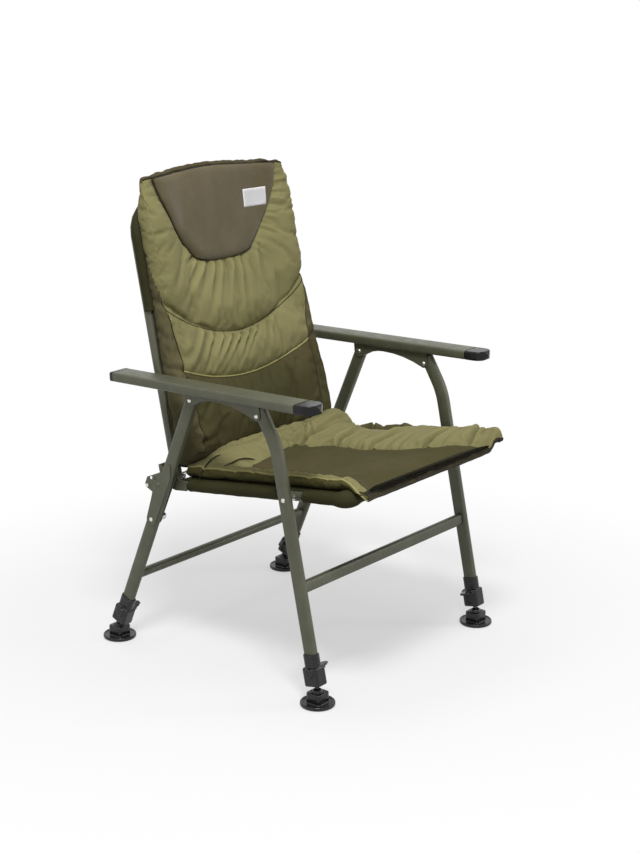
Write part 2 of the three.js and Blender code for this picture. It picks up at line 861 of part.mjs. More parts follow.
// Leg clamp: a sleeve and a block moulded in one, in the leg's own frame
function legClamp() {
  const block = upright(roundedRectangle(clampWidth, clampDepth, clampEdgeRound), clampHeight, capEdgeRound);
  block.translate(0, 0, clampBottom);
  const sleeve = upright(
    roundedRectangle(
      legThickness + 2 * (sleeveWall + gap),
      legDepth + 2 * (sleeveWall + gap),
      legEdgeRound + sleeveWall,
    ),
    sleeveHeight + clampHeight / 2,
  ).translate(0, 0, clampBottom + clampHeight / 2);
  const boss = new THREE.CylinderGeometry(bossRadius, bossRadius, clampWidth / 2 + bossHeight, headSides)
    .rotateZ(quarterTurn)
    .translate((clampWidth / 2 + bossHeight) / 2, 0, clampBottom + bossRise);
  const tubeHole = upright(
    roundedRectangle(legThickness + 2 * gap, legDepth + 2 * gap, legEdgeRound),
    clampHeight + sleeveHeight,
  ).translate(0, 0, clampBottom + clampFloor);
  const innerHole = upright(innerSection(slideClearance), clampHeight).translate(0, 0, clampBottom - overrun);
  const window = box(2 * windowDepth, windowWidth, windowHeight)
    .translate(-clampWidth / 2, 0, clampBottom + windowRise);
  const ears = [-1, 1].map((side) =>
    box(2 * leverDrum, leverEar, 2 * leverDrum).translate(
      -clampWidth / 2 - leverDrum + gap,
      (side * (leverWidth + leverEar + 2 * gap)) / 2,
      clampBottom + leverRise - leverDrum,
    ),
  );
  const pivot = new THREE.CylinderGeometry(leverPinRadius, leverPinRadius, leverWidth + 2 * leverEar, holeSides)
    .translate(-clampWidth / 2 - leverDrum, 0, clampBottom + leverRise);
  return cut(join(block, sleeve, boss, ...ears, pivot), tubeHole, innerHole, window);
}

// The wing lever turns on the clamp's pivot, and points in towards the middle of the chair
function clampLever() {
  const half = leverWidth / 2;
  const tip = leverTipWidth / 2;
  const wing = new THREE.Shape([
    new THREE.Vector2(0, -half),
    new THREE.Vector2(0, half),
    new THREE.Vector2(-leverReach / 2, half),
    new THREE.Vector2(-leverReach, tip),
    new THREE.Vector2(-leverReach, -tip),
    new THREE.Vector2(-leverReach / 2, -half),
  ].reverse());
  const plate = upright(wing, leverThickness, leverEdge).translate(0, 0, -leverThickness / 2);
  const drum = new THREE.CylinderGeometry(leverDrum - gap, leverDrum - gap, leverWidth, holeSides);
  const bore = new THREE.CylinderGeometry(
    leverPinRadius + gap,
    leverPinRadius + gap,
    leverWidth + overrun,
    holeSides,
  );
  return cut(join(plate, drum), bore)
    .translate(-clampWidth / 2 - leverDrum, 0, clampBottom + leverRise);
}

// Inner leg: the bar that slides in the leg tube, with the stem that enters the foot ball
function innerSection(extra) {
  const width = legThickness - 2 * (legWall + slideClearance - extra);
  const depth = legDepth - 2 * (legWall + slideClearance - extra);
  return roundedRectangle(width, depth, legEdgeRound - legWall);
}

function innerLeg() {
  const bar = upright(innerSection(0), innerLegLength).translate(0, 0, innerLegStart);
  const stem = new THREE.CylinderGeometry(stemRadius, stemRadius, 2 * stemDepth, holeSides)
    .rotateX(quarterTurn)
    .translate(0, 0, innerLegStart);
  return join(bar, stem);
}

// Foot ball: the slot in its top holds the stem's sides, and lets it rock from front to rear
function footBall() {
  const ball = new THREE.SphereGeometry(ballRadius, ballSides, ballSides / 2).rotateX(quarterTurn);
  const half = stemRadius + ballSlotClearance;
  const floorZ = innerLegStart - stemDepth - 2 * ballSlotClearance;
  const spread = half + (ballRadius - floorZ) * tan(ballSlotTilt);
  const slot = new THREE.Shape([
    place(-half, floorZ),
    place(half, floorZ),
    place(spread + overrun, ballRadius + overrun),
    place(-spread - overrun, ballRadius + overrun),
  ]);
  const across = stemRadius + gap;
  return cut(ball, sidePlate(slot, -across, 2 * across));
}

// Foot: a dished disc with a raised rim, and a square cup that holds the ball
function footDisc() {
  const disc = new THREE.LatheGeometry(
    [
      [0, 0],
      [discRadius - discRimWidth / 2, 0],
      [discRadius, discRimWidth / 2],
      [discRadius, discRimHeight - discRimWidth / 2],
      [discRadius - discRimWidth / 2, discRimHeight],
      [discRadius - discRimWidth, discFloor],
      [0, discFloor],
    ].map(([r, z]) => new THREE.Vector2(r, z)),
    discSides,
  ).rotateX(quarterTurn);
  const cup = upright(
    roundedRectangle(2 * cupHalf, 2 * cupHalf, 3 * cupEdgeRound),
    cupTop - discFloor / 2,
    cupEdgeRound,
  ).translate(0, 0, discFloor / 2);
  const socket = new THREE.SphereGeometry(ballRadius + socketClearance, ballSides, ballSides / 2)
    .rotateX(quarterTurn)
    .translate(0, 0, ballHeight);
  return cut(join(disc, cup), socket).translate(0, 0, -ballHeight);
}

// Cloth: a taut panel over the rails, with a sleeve round the tube that carries it
function sleeve(points, radius) {
  return tube(points, radius + clothGap + sleeveThickness);
}

function clothPanel(halfWidth, from, to, top) {
  return box(2 * halfWidth, to - from, clothThickness)
    .translate(0, (from + to) / 2, top - clothThickness);
}

function seatSling() {
  const sleeveBow = bow(railX, seatRearReach - seatSleeveInset, -seatFrontReach, seatCornerRadius, (x, y) =>
    space(x, y, 0),
  );
  const top = railRadius + clothGap + sleeveThickness;
  const panel = clothPanel(railX, -seatFrontReach + seatCornerRadius / 2, seatRearReach - seatClothInset, top);
  const bore = tube(lengthened(seatBow, overrun), railRadius + clothGap);
  const cuts = seatSides.map((side) =>
    pin(place(0, 0), pivotClothCut, side * railX - railDiameter, side * railX + railDiameter),
  );
  return cut(join(sleeve(sleeveBow, railRadius), panel), bore, ...cuts);
}

function backSling() {
  const sleeveBow = bow(backX, backSleeveLow, backTubeHeight, backCornerRadius, (x, z) =>
    space(x, backTubeOffset, z),
  );
  const top = backRadius + clothGap + sleeveThickness;
  const panel = clothPanel(backX, backClothLow, backTubeHeight - backCornerRadius / 2, top)
    .rotateX(quarterTurn)
    .translate(0, backTubeOffset, 0);
  const bore = tube(lengthened(backBow, overrun), backRadius + clothGap);
  return cut(join(sleeve(sleeveBow, backRadius), panel), bore);
}

// A pad on a flat base: the top follows a height function, and the sides bulge between two rings
function pad(columns, rows, outline, height, base, bulge) {
  const points = [];
  const faces = [];
  const shareOf = (i, n) => (2 * i) / n - 1;
  for (let j = 0; j <= rows; j += 1) {
    for (let i = 0; i <= columns; i += 1) {
      const a = shareOf(i, columns);
      const b = shareOf(j, rows);
      const [x, y] = outline(a, b);
      points.push([x, y, height(a, b, x, y)]);
    }
  }
  const at = (i, j) => j * (columns + 1) + i;
  for (let j = 0; j < rows; j += 1) {
    for (let i = 0; i < columns; i += 1) {
      faces.push([at(i, j), at(i + 1, j), at(i + 1, j + 1)]);
      faces.push([at(i, j), at(i + 1, j + 1), at(i, j + 1)]);
    }
  }
  const edge = [];
  for (let i = 0; i < columns; i += 1) edge.push(at(i, 0));
  for (let j = 0; j < rows; j += 1) edge.push(at(columns, j));
  for (let i = columns; i > 0; i -= 1) edge.push(at(i, rows));
  for (let j = rows; j > 0; j -= 1) edge.push(at(0, j));
  const count = edge.length;
  const middleY = points.reduce((sum, p) => sum + p[1], 0) / points.length;
  const ringAt = (level, spread) => {
    const first = points.length;
    edge.forEach((k) => {
      const [x, y, z] = points[k];
      const reach = hypot(x, y - middleY);
      const grow = 1 + spread / reach;
      points.push([x * grow, middleY + (y - middleY) * grow, base + (z - base) * level]);
    });
    return first;
  };
  const middle = ringAt(1 / 2, bulge);
  const bottom = ringAt(0, 0);
  for (let k = 0; k < count; k += 1) {
    const next = (k + 1) % count;
    const rings = [[edge[k], edge[next]], [middle + k, middle + next], [bottom + k, bottom + next]];
    for (let r = 0; r < 2; r += 1) {
      faces.push([rings[r][0], rings[r + 1][0], rings[r + 1][1]]);
      faces.push([rings[r][0], rings[r + 1][1], rings[r][1]]);
    }
  }
  const floorRing = Array.from({ length: count }, (_, k) => {
    const [x, y] = points[bottom + k];
    return new THREE.Vector2(x, y);
  });
  THREE.ShapeUtils.triangulateShape(floorRing, []).forEach(([p, q, r]) =>
    faces.push([bottom + p, bottom + r, bottom + q]),
  );
  const geometry = new THREE.BufferGeometry();
  geometry.setAttribute("position", new THREE.Float32BufferAttribute(points.flat(), 3));
  geometry.setIndex(faces.flat());
  geometry.computeVertexNormals();
  return geometry;
}

const bell = (distance, width) => exp(-((distance / width) ** 2));
const dome = (a, b) => (1 - abs(a) ** 4) * (1 - abs(b) ** 4);
const rim = (a, b) => max(abs(a), abs(b)) ** 12;
const ease = (value, from, to) => {
  const t = min(1, max(0, (value - from) / (to - from)));
  return t * t * (3 - 2 * t);
};
const mixed = (low, high, t) => low + (high - low) * t;

// A place along a pad, from its share between -1 and 1: even steps between each two stops
function spaced(share, stops, counts) {
  const total = counts.reduce((sum, n) => sum + n, 0);
  let step = ((share + 1) / 2) * total;
  let k = 0;
  while (k < counts.length - 1 && step > counts[k]) {
    step -= counts[k];
    k += 1;
  }
  return mixed(stops[k], stops[k + 1], step / counts[k]);
}

const countOf = (counts) => counts.reduce((sum, n) => sum + n, 0);

// Edges of a pad's plan: drawn in a little along their middle, with the corners pulled in
const edgeOf = (reach, share) => reach - padDrawIn * (1 - share * share) - (padCornerPull / 2) * share ** 8;

// Seat pad: dished, with bolsters along its sides and a thicker band at the rear, sewn to the middle
function seatPad() {
  const base = railRadius + clothGap + sleeveThickness + gap;
  const half = railX - seatPadSideInset;
  const low = -seatFrontReach - seatPadFrontOverhang;
  const high = seatRearReach - seatPadRearInset;
  const seam = half - seatSeamInset;
  const bandSeam = high - seatBandSeamInset;
  const outline = (a, b) => {
    const side = edgeOf(half, b);
    const reach = edgeOf((high - low) / 2, a);
    const stops = [-side, -seam - channelWidth, -seam, channelWidth - seam,
      seam - channelWidth, seam, seam + channelWidth, side];
    const rows = [(low + high) / 2 - reach, bandSeam - channelWidth, bandSeam, bandSeam + channelWidth,
      (low + high) / 2 + reach];
    return [spaced(a, stops, seatColumnCounts), spaced(b, rows, seatRowCounts)];
  };
  const height = (a, b, x, y) => {
    const side = ease(abs(x), half - seatBolsterSlope, half - bolsterCrest);
    const band = ease(y, high - seatBandSlope, high - bolsterCrest);
    const middle = mixed(seatPadDepth, seatSideDepth, side);
    const channel = seatChannelDepth * max(bell(abs(x) - seam, channelWidth), bell(y - bandSeam, channelWidth));
    return base + mixed(middle, seatBandDepth, band) - channel - padEdgeDrop * rim(a, b);
  };
  return pad(countOf(seatColumnCounts), countOf(seatRowCounts), outline, height, base, padBulge);
}

// Back pad: dished under the head cushion, with bolsters along its sides and two curved seams
const backBase = backRadius + clothGap + sleeveThickness + gap;
const backHalf = backX + backPadSideOverlap;
const backPadHigh = backTubeHeight + backPadTopOverhang;
const headHigh = backPadHigh - headTopInset;
const headLow = headHigh - headHeight;

function backPadTop(x, y) {
  const share = x / backHalf;
  const head = ease(y, headLow + headEdgeDepth - headSlope, headLow + headEdgeDepth);
  const flank = mixed(backLowSideDepth, backSideDepth, ease(y, backPadLow, backPadLow + backLowSlope));
  const crest = mixed(flank, backTopDepth, ease(y, backPadHigh - backTopSlope, backPadHigh));
  const side = ease(abs(x), backHalf - backBolsterSlope, backHalf - bolsterCrest);
  const low = bell(y - backSeamLow - backSeamLowSag * share ** 2, channelWidth);
  const high = bell(y - backSeamHigh - backSeamHighSag * share ** 2, channelWidth);
  const middle = mixed(backPadDepth, backHeadDepth, head);
  return backBase + mixed(middle, crest, side) - backChannelDepth * (low + high) * (1 - share ** 4);
}

function backPad() {
  const outline = (a, b) => {
    const side = edgeOf(backHalf - (backPadTopTaper * (b + 1)) / 2, b);
    const middle = (backPadLow + backPadHigh) / 2;
    const reach = edgeOf((backPadHigh - backPadLow) / 2, a);
    const x = spaced(a, [-side, side], backColumnCounts);
    const share = (x / backHalf) ** 2;
    const low = backSeamLow + backSeamLowSag * share;
    const high = backSeamHigh + backSeamHighSag * share;
    const rows = [middle - reach, low - channelWidth, low, low + channelWidth,
      high - channelWidth, high, high + channelWidth, middle + reach];
    return [x, spaced(b, rows, backRowCounts)];
  };
  const height = (a, b, x, y) => backPadTop(x, y) - padEdgeDrop * rim(a, b);
  return pad(countOf(backColumnCounts), countOf(backRowCounts), outline, height, backBase, padBulge)
    .rotateX(quarterTurn)
    .translate(0, backTubeOffset, 0);
}

// The head cushion lies on the back pad: its underside is the pad's front, lifted by the gap
function headCushion() {
  const topHalf = backHalf - backPadTopTaper - headSideInset;
  const outline = (a, b) => {
    const half = topHalf * mixed(headLowShare, 1, ((b + 1) / 2) ** headFlareShare);
    return [a * half, mixed(headLow, headHigh, (b + 1) / 2)];
  };
  const height = (a, b, x, y) =>
    backPadTop(x, y) + gap + mixed(headEdgeDepth, headThickness, dome(a, b));
  const blank = pad(headColumns, headRows, outline, height, backBase + headEdgeDepth, 0)
    .rotateX(quarterTurn)
    .translate(0, backTubeOffset, 0);
  return cut(blank, backPad().translate(0, -gap, 0));
}

// Materials by kind of piece, and the pieces of one side, modelled on the left
const chair = new THREE.Group();
chair.name = "fishing_chair";

const piece = (name, geometry, material) => {
  const mesh = new THREE.Mesh(geometry, material);
  mesh.name = name;
  return mesh;
};

const sideGeometry = {
  hinge_plate: [hingePlate(), frameFinish],
  front_leg: [legTube(frontLine, strip(frontLine, legHalf), overrun, [armPivot, seatPivot]), frameFinish],
  front_leg_plug: [legPlug(), plasticFinish],
  rear_leg: [
    legTube(rearLine, rearOutline(), legHalf + overrun, [rearArmPivot, linkPivot]),
    frameFinish,
  ],
  arm_bracket: [armBracket(), frameFinish],
  lock_link: [lockLink(), frameFinish],
  front_arm_rivet: [rivet(armPivot, ...channelEnds), zincFinish],
  rear_arm_rivet: [rivet(rearArmPivot, ...channelEnds), zincFinish],
  seat_rivet: [seatRivet(), zincFinish],
  link_bolt: [linkBolt(), zincFinish],
  hinge_bolt: [hingeBolt(), zincFinish],
};
const armGeometry = {
  armrest: [armrest(), frameFinish],
  arm_front_cap: [armCap(armFront, -1, frontCapLength, frontCapRound), plasticFinish],
  arm_rear_cap: [armCap(armRear, 1, rearCapLength, rearCapRound), plasticFinish],
};
const footGeometry = {
  leg_clamp: [legClamp(), plasticFinish],
  clamp_lever: [clampLever(), plasticFinish],
  inner_leg: [innerLeg(), frameFinish],
  foot_ball: [footBall(), plasticFinish],
};
const discGeometry = footDisc();

function oneSide(side) {
  const group = new THREE.Group();
  const add = (parent, list, prefix) =>
    Object.entries(list).forEach(([name, [geometry, material]]) =>
      parent.add(piece(`${prefix}_${name}`, geometry, material)),
    );
  add(group, sideGeometry, side);
  const arm = new THREE.Group();
  arm.position.set(armX, armPivotY, underArm(armPivotY));
  arm.rotation.x = -armTilt;
  add(arm, armGeometry, side);
  group.add(arm);
  const feet = [
    ["front", frontBall, -frontTilt],
    ["rear", rearBall, rearTilt],
  ];
  feet.forEach(([end, ball, tilt]) => {
    const foot = new THREE.Group();
    foot.position.set(legX, ball.x, ball.y);
    const leaning = new THREE.Group();
    leaning.rotation.x = tilt;
    add(leaning, footGeometry, `${side}_${end}`);
    foot.add(leaning, piece(`${side}_${end}_foot`, discGeometry, plasticFinish));
    group.add(foot);
  });
  return group;
}

const left = oneSide("left");
const right = oneSide("right");
right.scale.x = -1;

const seat = new THREE.Group();
seat.position.set(0, seatPivotY, seatPivotZ);
seat.rotation.x = -railTilt;
seat.add(
  piece("seat_frame", seatFrame(), frameFinish),
  piece("seat_sling", seatSling(), darkFabric),
  piece("seat_pad", seatPad(), darkFabric),
);

const back = new THREE.Group();
back.position.set(0, hinge.x, hinge.y);
back.rotation.x = -backTilt;
back.add(
  piece("back_frame", backFrame(), frameFinish),
  piece("back_sling", backSling(), darkFabric),
  piece("back_pad", backPad(), lightFabric),
  piece("head_cushion", headCushion(), fleeceFabric),
);

const assembly = new THREE.Group();
assembly.add(
  seat,
  back,
  left,
  right,
  piece("front_crossbar", frontCrossbar(), frameFinish),
  piece("rear_crossbar", rearCrossbar(), frameFinish),
  piece("link_tie_rod", tieRod(), zincFinish),
);
chair.add(assembly);

// The origin is the bottom middle of the bounding box
chair.updateMatrixWorld(true);
const bounds = new THREE.Box3().setFromObject(chair, true);
assembly.position.y = -(bounds.min.y + bounds.max.y) / 2;
assembly.position.z = -bounds.min.z;

export default chair;
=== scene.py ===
import json
import math
import random

import bmesh
import bpy
import numpy as np
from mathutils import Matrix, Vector, noise

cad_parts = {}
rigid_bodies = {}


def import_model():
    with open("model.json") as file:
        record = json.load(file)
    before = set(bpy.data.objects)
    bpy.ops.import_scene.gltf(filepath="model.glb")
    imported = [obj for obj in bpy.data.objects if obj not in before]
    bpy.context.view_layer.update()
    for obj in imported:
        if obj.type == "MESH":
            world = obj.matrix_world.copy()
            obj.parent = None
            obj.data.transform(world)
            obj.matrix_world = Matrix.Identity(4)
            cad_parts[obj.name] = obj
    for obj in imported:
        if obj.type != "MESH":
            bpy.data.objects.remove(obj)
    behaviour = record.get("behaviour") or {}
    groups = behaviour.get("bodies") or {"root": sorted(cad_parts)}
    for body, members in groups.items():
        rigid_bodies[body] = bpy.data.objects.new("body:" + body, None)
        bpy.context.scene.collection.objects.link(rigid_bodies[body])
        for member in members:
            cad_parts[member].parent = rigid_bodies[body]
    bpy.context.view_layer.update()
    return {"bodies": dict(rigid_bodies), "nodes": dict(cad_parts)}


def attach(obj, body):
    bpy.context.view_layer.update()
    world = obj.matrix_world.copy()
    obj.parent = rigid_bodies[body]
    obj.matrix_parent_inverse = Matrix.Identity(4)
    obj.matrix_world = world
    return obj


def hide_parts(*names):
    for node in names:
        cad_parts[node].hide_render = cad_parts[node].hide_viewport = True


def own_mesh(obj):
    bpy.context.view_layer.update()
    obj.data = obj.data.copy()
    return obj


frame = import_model()
NODES = frame["nodes"]
MM = 0.001

# ---------------------------------------------------------------- places, the same as in the part's source
SHIFT_Y = -256.49352363207487
SEAT_TILT = math.radians(7.4)
BACK_TILT = math.radians(11.7)
SEAT_ORIGIN = np.array([0.0, 83.0 + SHIFT_Y, 420.0])
BACK_ORIGIN = np.array([0.0, 427.5 + SHIFT_Y, 384.5])
SEAT_ALONG = np.array([0.0, math.cos(SEAT_TILT), -math.sin(SEAT_TILT)])
SEAT_UP = np.array([0.0, math.sin(SEAT_TILT), math.cos(SEAT_TILT)])
BACK_ALONG = np.array([0.0, math.sin(BACK_TILT), math.cos(BACK_TILT)])
BACK_OUT = np.array([0.0, -math.cos(BACK_TILT), math.sin(BACK_TILT)])
ACROSS = np.array([1.0, 0.0, 0.0])
BACK_TUBE = 5.2
SEAT_BASE = 12.8
BACK_BASE = 13.3 - BACK_TUBE


class Plane:
    """Local places on a pad: x across, u along it, h out of it, in millimetres."""

    def __init__(self, origin, along, out):
        self.origin, self.along, self.out = origin, along, out

    def world(self, p):
        p = np.asarray(p, float)
        q = self.origin + np.outer(p[:, 0], ACROSS) + np.outer(p[:, 1], self.along) + np.outer(p[:, 2], self.out)
        return q * MM

    def local(self, q):
        d = np.asarray(q, float) / MM - self.origin
        return np.column_stack([d @ ACROSS, d @ self.along, d @ self.out])


SEAT = Plane(SEAT_ORIGIN, SEAT_ALONG, SEAT_UP)
BACK = Plane(BACK_ORIGIN, BACK_ALONG, BACK_OUT)

# ---------------------------------------------------------------- materials


def rgb(r, g, b):
    def lin(c):
        c /= 255.0
        return c / 12.92 if c <= 0.04045 else ((c + 0.055) / 1.055) ** 2.4
    return (lin(r), lin(g), lin(b), 1.0)


def grey(value):
    return (value, value, value, 1.0)


def new_material(name):
    m = bpy.data.materials.new(name)
    m.use_nodes = True
    tree = m.node_tree
    tree.nodes.clear()
    out = tree.nodes.new("ShaderNodeOutputMaterial")
    shader = tree.nodes.new("ShaderNodeBsdfPrincipled")
    tree.links.new(shader.outputs["BSDF"], out.inputs["Surface"])
    coord = tree.nodes.new("ShaderNodeTexCoord")
    return m, tree, shader, coord.outputs["Object"]


def fill(tree, sockets, values):
    """Sets each socket to its number or colour, or links it to the output that feeds it."""
    for key, value in values.items():
        if isinstance(value, (float, tuple)):
            sockets[key].default_value = value
        else:
            tree.links.new(value, sockets[key])


def math_node(tree, operation, *values):
    n = tree.nodes.new("ShaderNodeMath")
    n.operation = operation
    fill(tree, n.inputs, dict(enumerate(values)))
    return n.outputs[0]


def noise_node(tree, vector, scale, detail=3.0, rough=0.55, distortion=0.0):
    n = tree.nodes.new("ShaderNodeTexNoise")
    fill(tree, n.inputs, {"Vector": vector, "Scale": scale, "Detail": detail,
                          "Roughness": rough, "Distortion": distortion})
    return n.outputs["Fac"]


def ramp(tree, fac, *stops):
    r = tree.nodes.new("ShaderNodeValToRGB")
    e = r.color_ramp.elements
    while len(e) < len(stops):
        e.new(0.5)
    for el, (pos, col) in zip(e, stops):
        el.position, el.color = pos, col
    tree.links.new(fac, r.inputs["Fac"])
    return r.outputs["Color"]


def mix_color(tree, a, b, fac, blend="MIX"):
    n = tree.nodes.new("ShaderNodeMix")
    n.data_type, n.blend_type = "RGBA", blend
    fill(tree, {s.name: s for s in n.inputs if s.type == "RGBA"}, {"A": a, "B": b})
    fill(tree, n.inputs, {0: fac})
    return [s for s in n.outputs if s.type == "RGBA"][0]


def bump(tree, height, strength, distance, normal=None):
    b = tree.nodes.new("ShaderNodeBump")
    fill(tree, b.inputs, {"Height": height, "Strength": strength, "Distance": distance})
    if normal is not None:
        tree.links.new(normal, b.inputs["Normal"])
    return b.outputs["Normal"]


def stretch(tree, vector, scale):
    m = tree.nodes.new("ShaderNodeMapping")
    fill(tree, m.inputs, {"Vector": vector, "Scale": scale})
    return m.outputs["Vector"]


def edge_round(tree, radius):
    n = tree.nodes.new("ShaderNodeBevel")
    n.samples = 6
    n.inputs["Radius"].default_value = radius
    return n.outputs["Normal"]


THREADS = 1500.0
# painted shade in the cloth's hollows and a painted highlight on its ridges, read from the mesh's pointiness
CREASE_SHADE = ((0.41, (0.62, 0.62, 0.58, 1)), (0.495, grey(0.97)), (0.58, (1.14, 1.14, 1.12, 1)))


def woven(name, base, dark, light, crinkle=0.0006, rough=0.7, sheen=0.03, gloss=0.14):
    """Woven polyester: fine crossed threads, soft crinkles, slight uneven tone, and painted shade in hollows with
    a painted highlight on ridges.
    """
    m, tree, shader, where = new_material(name)
    fine, coarse = THREADS, THREADS / 4
    threads = [noise_node(tree, stretch(tree, where, scale), 1.0, 1.0)
               for scale in ((fine, coarse, coarse), (coarse, fine, fine))]
    weave = math_node(tree, "MULTIPLY", math_node(tree, "ADD", *threads), 0.5)
    tone = ramp(tree, noise_node(tree, where, 5.0), (0.3, dark), (0.5, base), (0.7, light))
    slub = ramp(tree, weave, (0.38, grey(0.93)), (0.62, grey(1.05)))
    shape = tree.nodes.new("ShaderNodeNewGeometry")
    # painted shade in the hollows and painted highlight on the ridges, from pointiness
    crease_shade = ramp(tree, shape.outputs["Pointiness"], *CREASE_SHADE)
    cloth = mix_color(tree, tone, slub, 1.0, "MULTIPLY")
    soft = bump(tree, noise_node(tree, where, 34.0, 2.0, 0.45), 0.5, crinkle)
    fill(tree, shader.inputs, {
        "Base Color": mix_color(tree, cloth, crease_shade, 1.0, "MULTIPLY"),
        "Normal": bump(tree, weave, 0.25, 0.00015, soft),
        "Roughness": rough,
        "Sheen Weight": sheen,
        "Sheen Roughness": 0.5,
        "Specular IOR Level": gloss,
    })
    return m


def fleece(name, base, dark, light):
    """Short pile: fine fibres, and patches brushed lighter and darker."""
    m, tree, shader, where = new_material(name)
    pile = noise_node(tree, where, 620.0, 2.0, 0.7)
    brushed = noise_node(tree, stretch(tree, where, (1.0, 1.0, 0.6)), 14.0, 3.0, 0.5, 0.3)
    tone = ramp(tree, brushed, (0.28, dark), (0.5, base), (0.74, light))
    fibre = ramp(tree, pile, (0.3, grey(0.72)), (0.7, grey(1.2)))
    fill(tree, shader.inputs, {
        "Base Color": mix_color(tree, tone, fibre, 1.0, "MULTIPLY"),
        "Normal": bump(tree, pile, 0.6, 0.0007, bump(tree, brushed, 0.4, 0.0012)),
        "Roughness": 1.0,
        "Sheen Weight": 0.25,
        "Sheen Roughness": 0.6,
        "Specular IOR Level": 0.12,
    })
    return m


def paint(name, base, dark, light, rough=0.42, metallic=0.25):
    """Satin powder coat: fine orange peel, slight dust and handling marks."""
    m, tree, shader, where = new_material(name)
    dust = noise_node(tree, where, 22.0, 5.0, 0.6)
    rub = noise_node(tree, where, 60.0, 4.0, 0.65)
    peel = noise_node(tree, where, 900.0, 2.0, 0.5)
    fill(tree, shader.inputs, {
        "Base Color": ramp(tree, dust, (0.3, dark), (0.52, base), (0.75, light)),
        "Roughness": ramp(tree, rub, (0.3, grey(rough - 0.07)), (0.7, grey(rough + 0.1))),
        "Normal": bump(tree, peel, 0.12, 0.0002, edge_round(tree, 0.0009)),
        "Metallic": metallic,
    })
    return m


def moulded(name, base, light, rough, shine):
    """Moulded nylon: near black, glossy on the faces and greyer on rubbed parts."""
    m, tree, shader, where = new_material(name)
    rub = noise_node(tree, where, 70.0, 4.0, 0.6)
    grain = noise_node(tree, where, 1200.0, 2.0)
    fill(tree, shader.inputs, {
        "Base Color": ramp(tree, rub, (0.42, base), (0.8, light)),
        "Roughness": ramp(tree, rub, (0.3, grey(rough)), (0.8, grey(rough + 0.2))),
        "Normal": bump(tree, grain, 0.1, 0.0002, edge_round(tree, 0.0011)),
        "Specular IOR Level": shine,
    })
    return m


def plated(name):
    """Bright zinc: polished domes with faint brushing."""
    m, tree, shader, where = new_material(name)
    marks = noise_node(tree, stretch(tree, where, (1.0, 1.0, 6.0)), 260.0, 3.0)
    fill(tree, shader.inputs, {
        "Base Color": ramp(tree, marks, (0.3, rgb(196, 196, 190)), (0.7, rgb(232, 232, 228))),
        "Roughness": ramp(tree, marks, (0.3, grey(0.2)), (0.8, grey(0.34))),
        "Normal": edge_round(tree, 0.0008),
        "Metallic": 0.95,
    })
    return m


LIGHT = woven("light_cloth", rgb(133, 128, 86), rgb(126, 121, 80), rgb(141, 135, 92))
DARK = woven("dark_cloth", rgb(79, 75, 49), rgb(71, 71, 44), rgb(89, 80, 55), rough=0.8, sheen=0.0, gloss=0.08)
BROWN = woven("brown_cloth", rgb(97, 91, 64), rgb(87, 81, 55), rgb(107, 100, 72), rough=0.75, sheen=0.02,
              gloss=0.1)
TOP = woven("top_gusset", rgb(72, 64, 41), rgb(64, 57, 36), rgb(82, 73, 48))
# the brown side cloth darkened, as painted shade for the seat's near gusset
BROWN_IN_SHADE = woven("brown_gusset_painted_shade", rgb(84, 81, 48), rgb(76, 73, 42), rgb(94, 91, 55), rough=0.75, sheen=0.0, gloss=0.1)
SLEEVE = woven("sleeve_cloth", rgb(54, 53, 31), rgb(47, 46, 26), rgb(62, 61, 38), rough=0.75, sheen=0.0,
               gloss=0.12)
EDGING = woven("edging_tape", rgb(42, 38, 24), rgb(36, 32, 20), rgb(54, 49, 32), sheen=0.0, gloss=0.2)
PIPING = woven("light_piping", rgb(156, 148, 98), rgb(146, 139, 90), rgb(168, 161, 112))
FLEECE = fleece("brown_fleece", rgb(96, 86, 60), rgb(89, 79, 54), rgb(105, 94, 67))
PATCH = woven("blank_patch", rgb(216, 214, 216), rgb(210, 208, 211), rgb(222, 221, 222), crinkle=0.0003)
PAINT = paint("olive_powder_coat", rgb(91, 92, 75), rgb(86, 87, 70), rgb(98, 99, 81))
PLASTIC = moulded("black_nylon", rgb(17, 17, 18), rgb(28, 28, 29), 0.17, 0.42)
CAP = moulded("black_cap", rgb(15, 15, 16), rgb(22, 22, 23), 0.16, 0.28)
ZINC = plated("bright_zinc")

# ---------------------------------------------------------------- mesh helpers


def ease(v, a, b):
    t = np.clip((np.asarray(v, float) - a) / (b - a), 0.0, 1.0)
    return t * t * (3 - 2 * t)


def mix(a, b, t):
    return a + (b - a) * t


def bell(d, w):
    return np.exp(-(np.asarray(d, float) / w) ** 2)


def wave(x, y, scale, seed):
    """Smooth value noise from -1 to 1 at places, in millimetres: grids of any shape, or a row."""
    x, y = np.atleast_1d(x), np.atleast_1d(y)
    flat = [noise.noise(Vector((float(a) / scale, float(b) / scale, seed * 7.31)))
            for a, b in zip(x.ravel(), y.ravel())]
    return np.array(flat).reshape(x.shape)


def coat(obj, material):
    obj.data.materials.clear()
    obj.data.materials.append(material)
    obj.data.polygons.foreach_set("use_smooth", [True] * len(obj.data.polygons))


def add_object(name, data):
    obj = bpy.data.objects.new(name, data)
    bpy.context.scene.collection.objects.link(obj)
    return obj


def make_object(name, verts, faces, materials, indices=None):
    mesh = bpy.data.meshes.new(name)
    mesh.from_pydata([tuple(v) for v in verts], [], faces)
    for m in materials:
        mesh.materials.append(m)
    if indices is not None:
        mesh.polygons.foreach_set("material_index", indices)
    mesh.polygons.foreach_set("use_smooth", [True] * len(mesh.polygons))
    mesh.validate()
    return add_object(name, mesh)


def read_points(obj):
    v = np.empty(len(obj.data.vertices) * 3)
    obj.data.vertices.foreach_get("co", v)
    return v.reshape(-1, 3)


def write_points(obj, points):
    obj.data.vertices.foreach_set("co", np.asarray(points, float).ravel())
    obj.data.update()


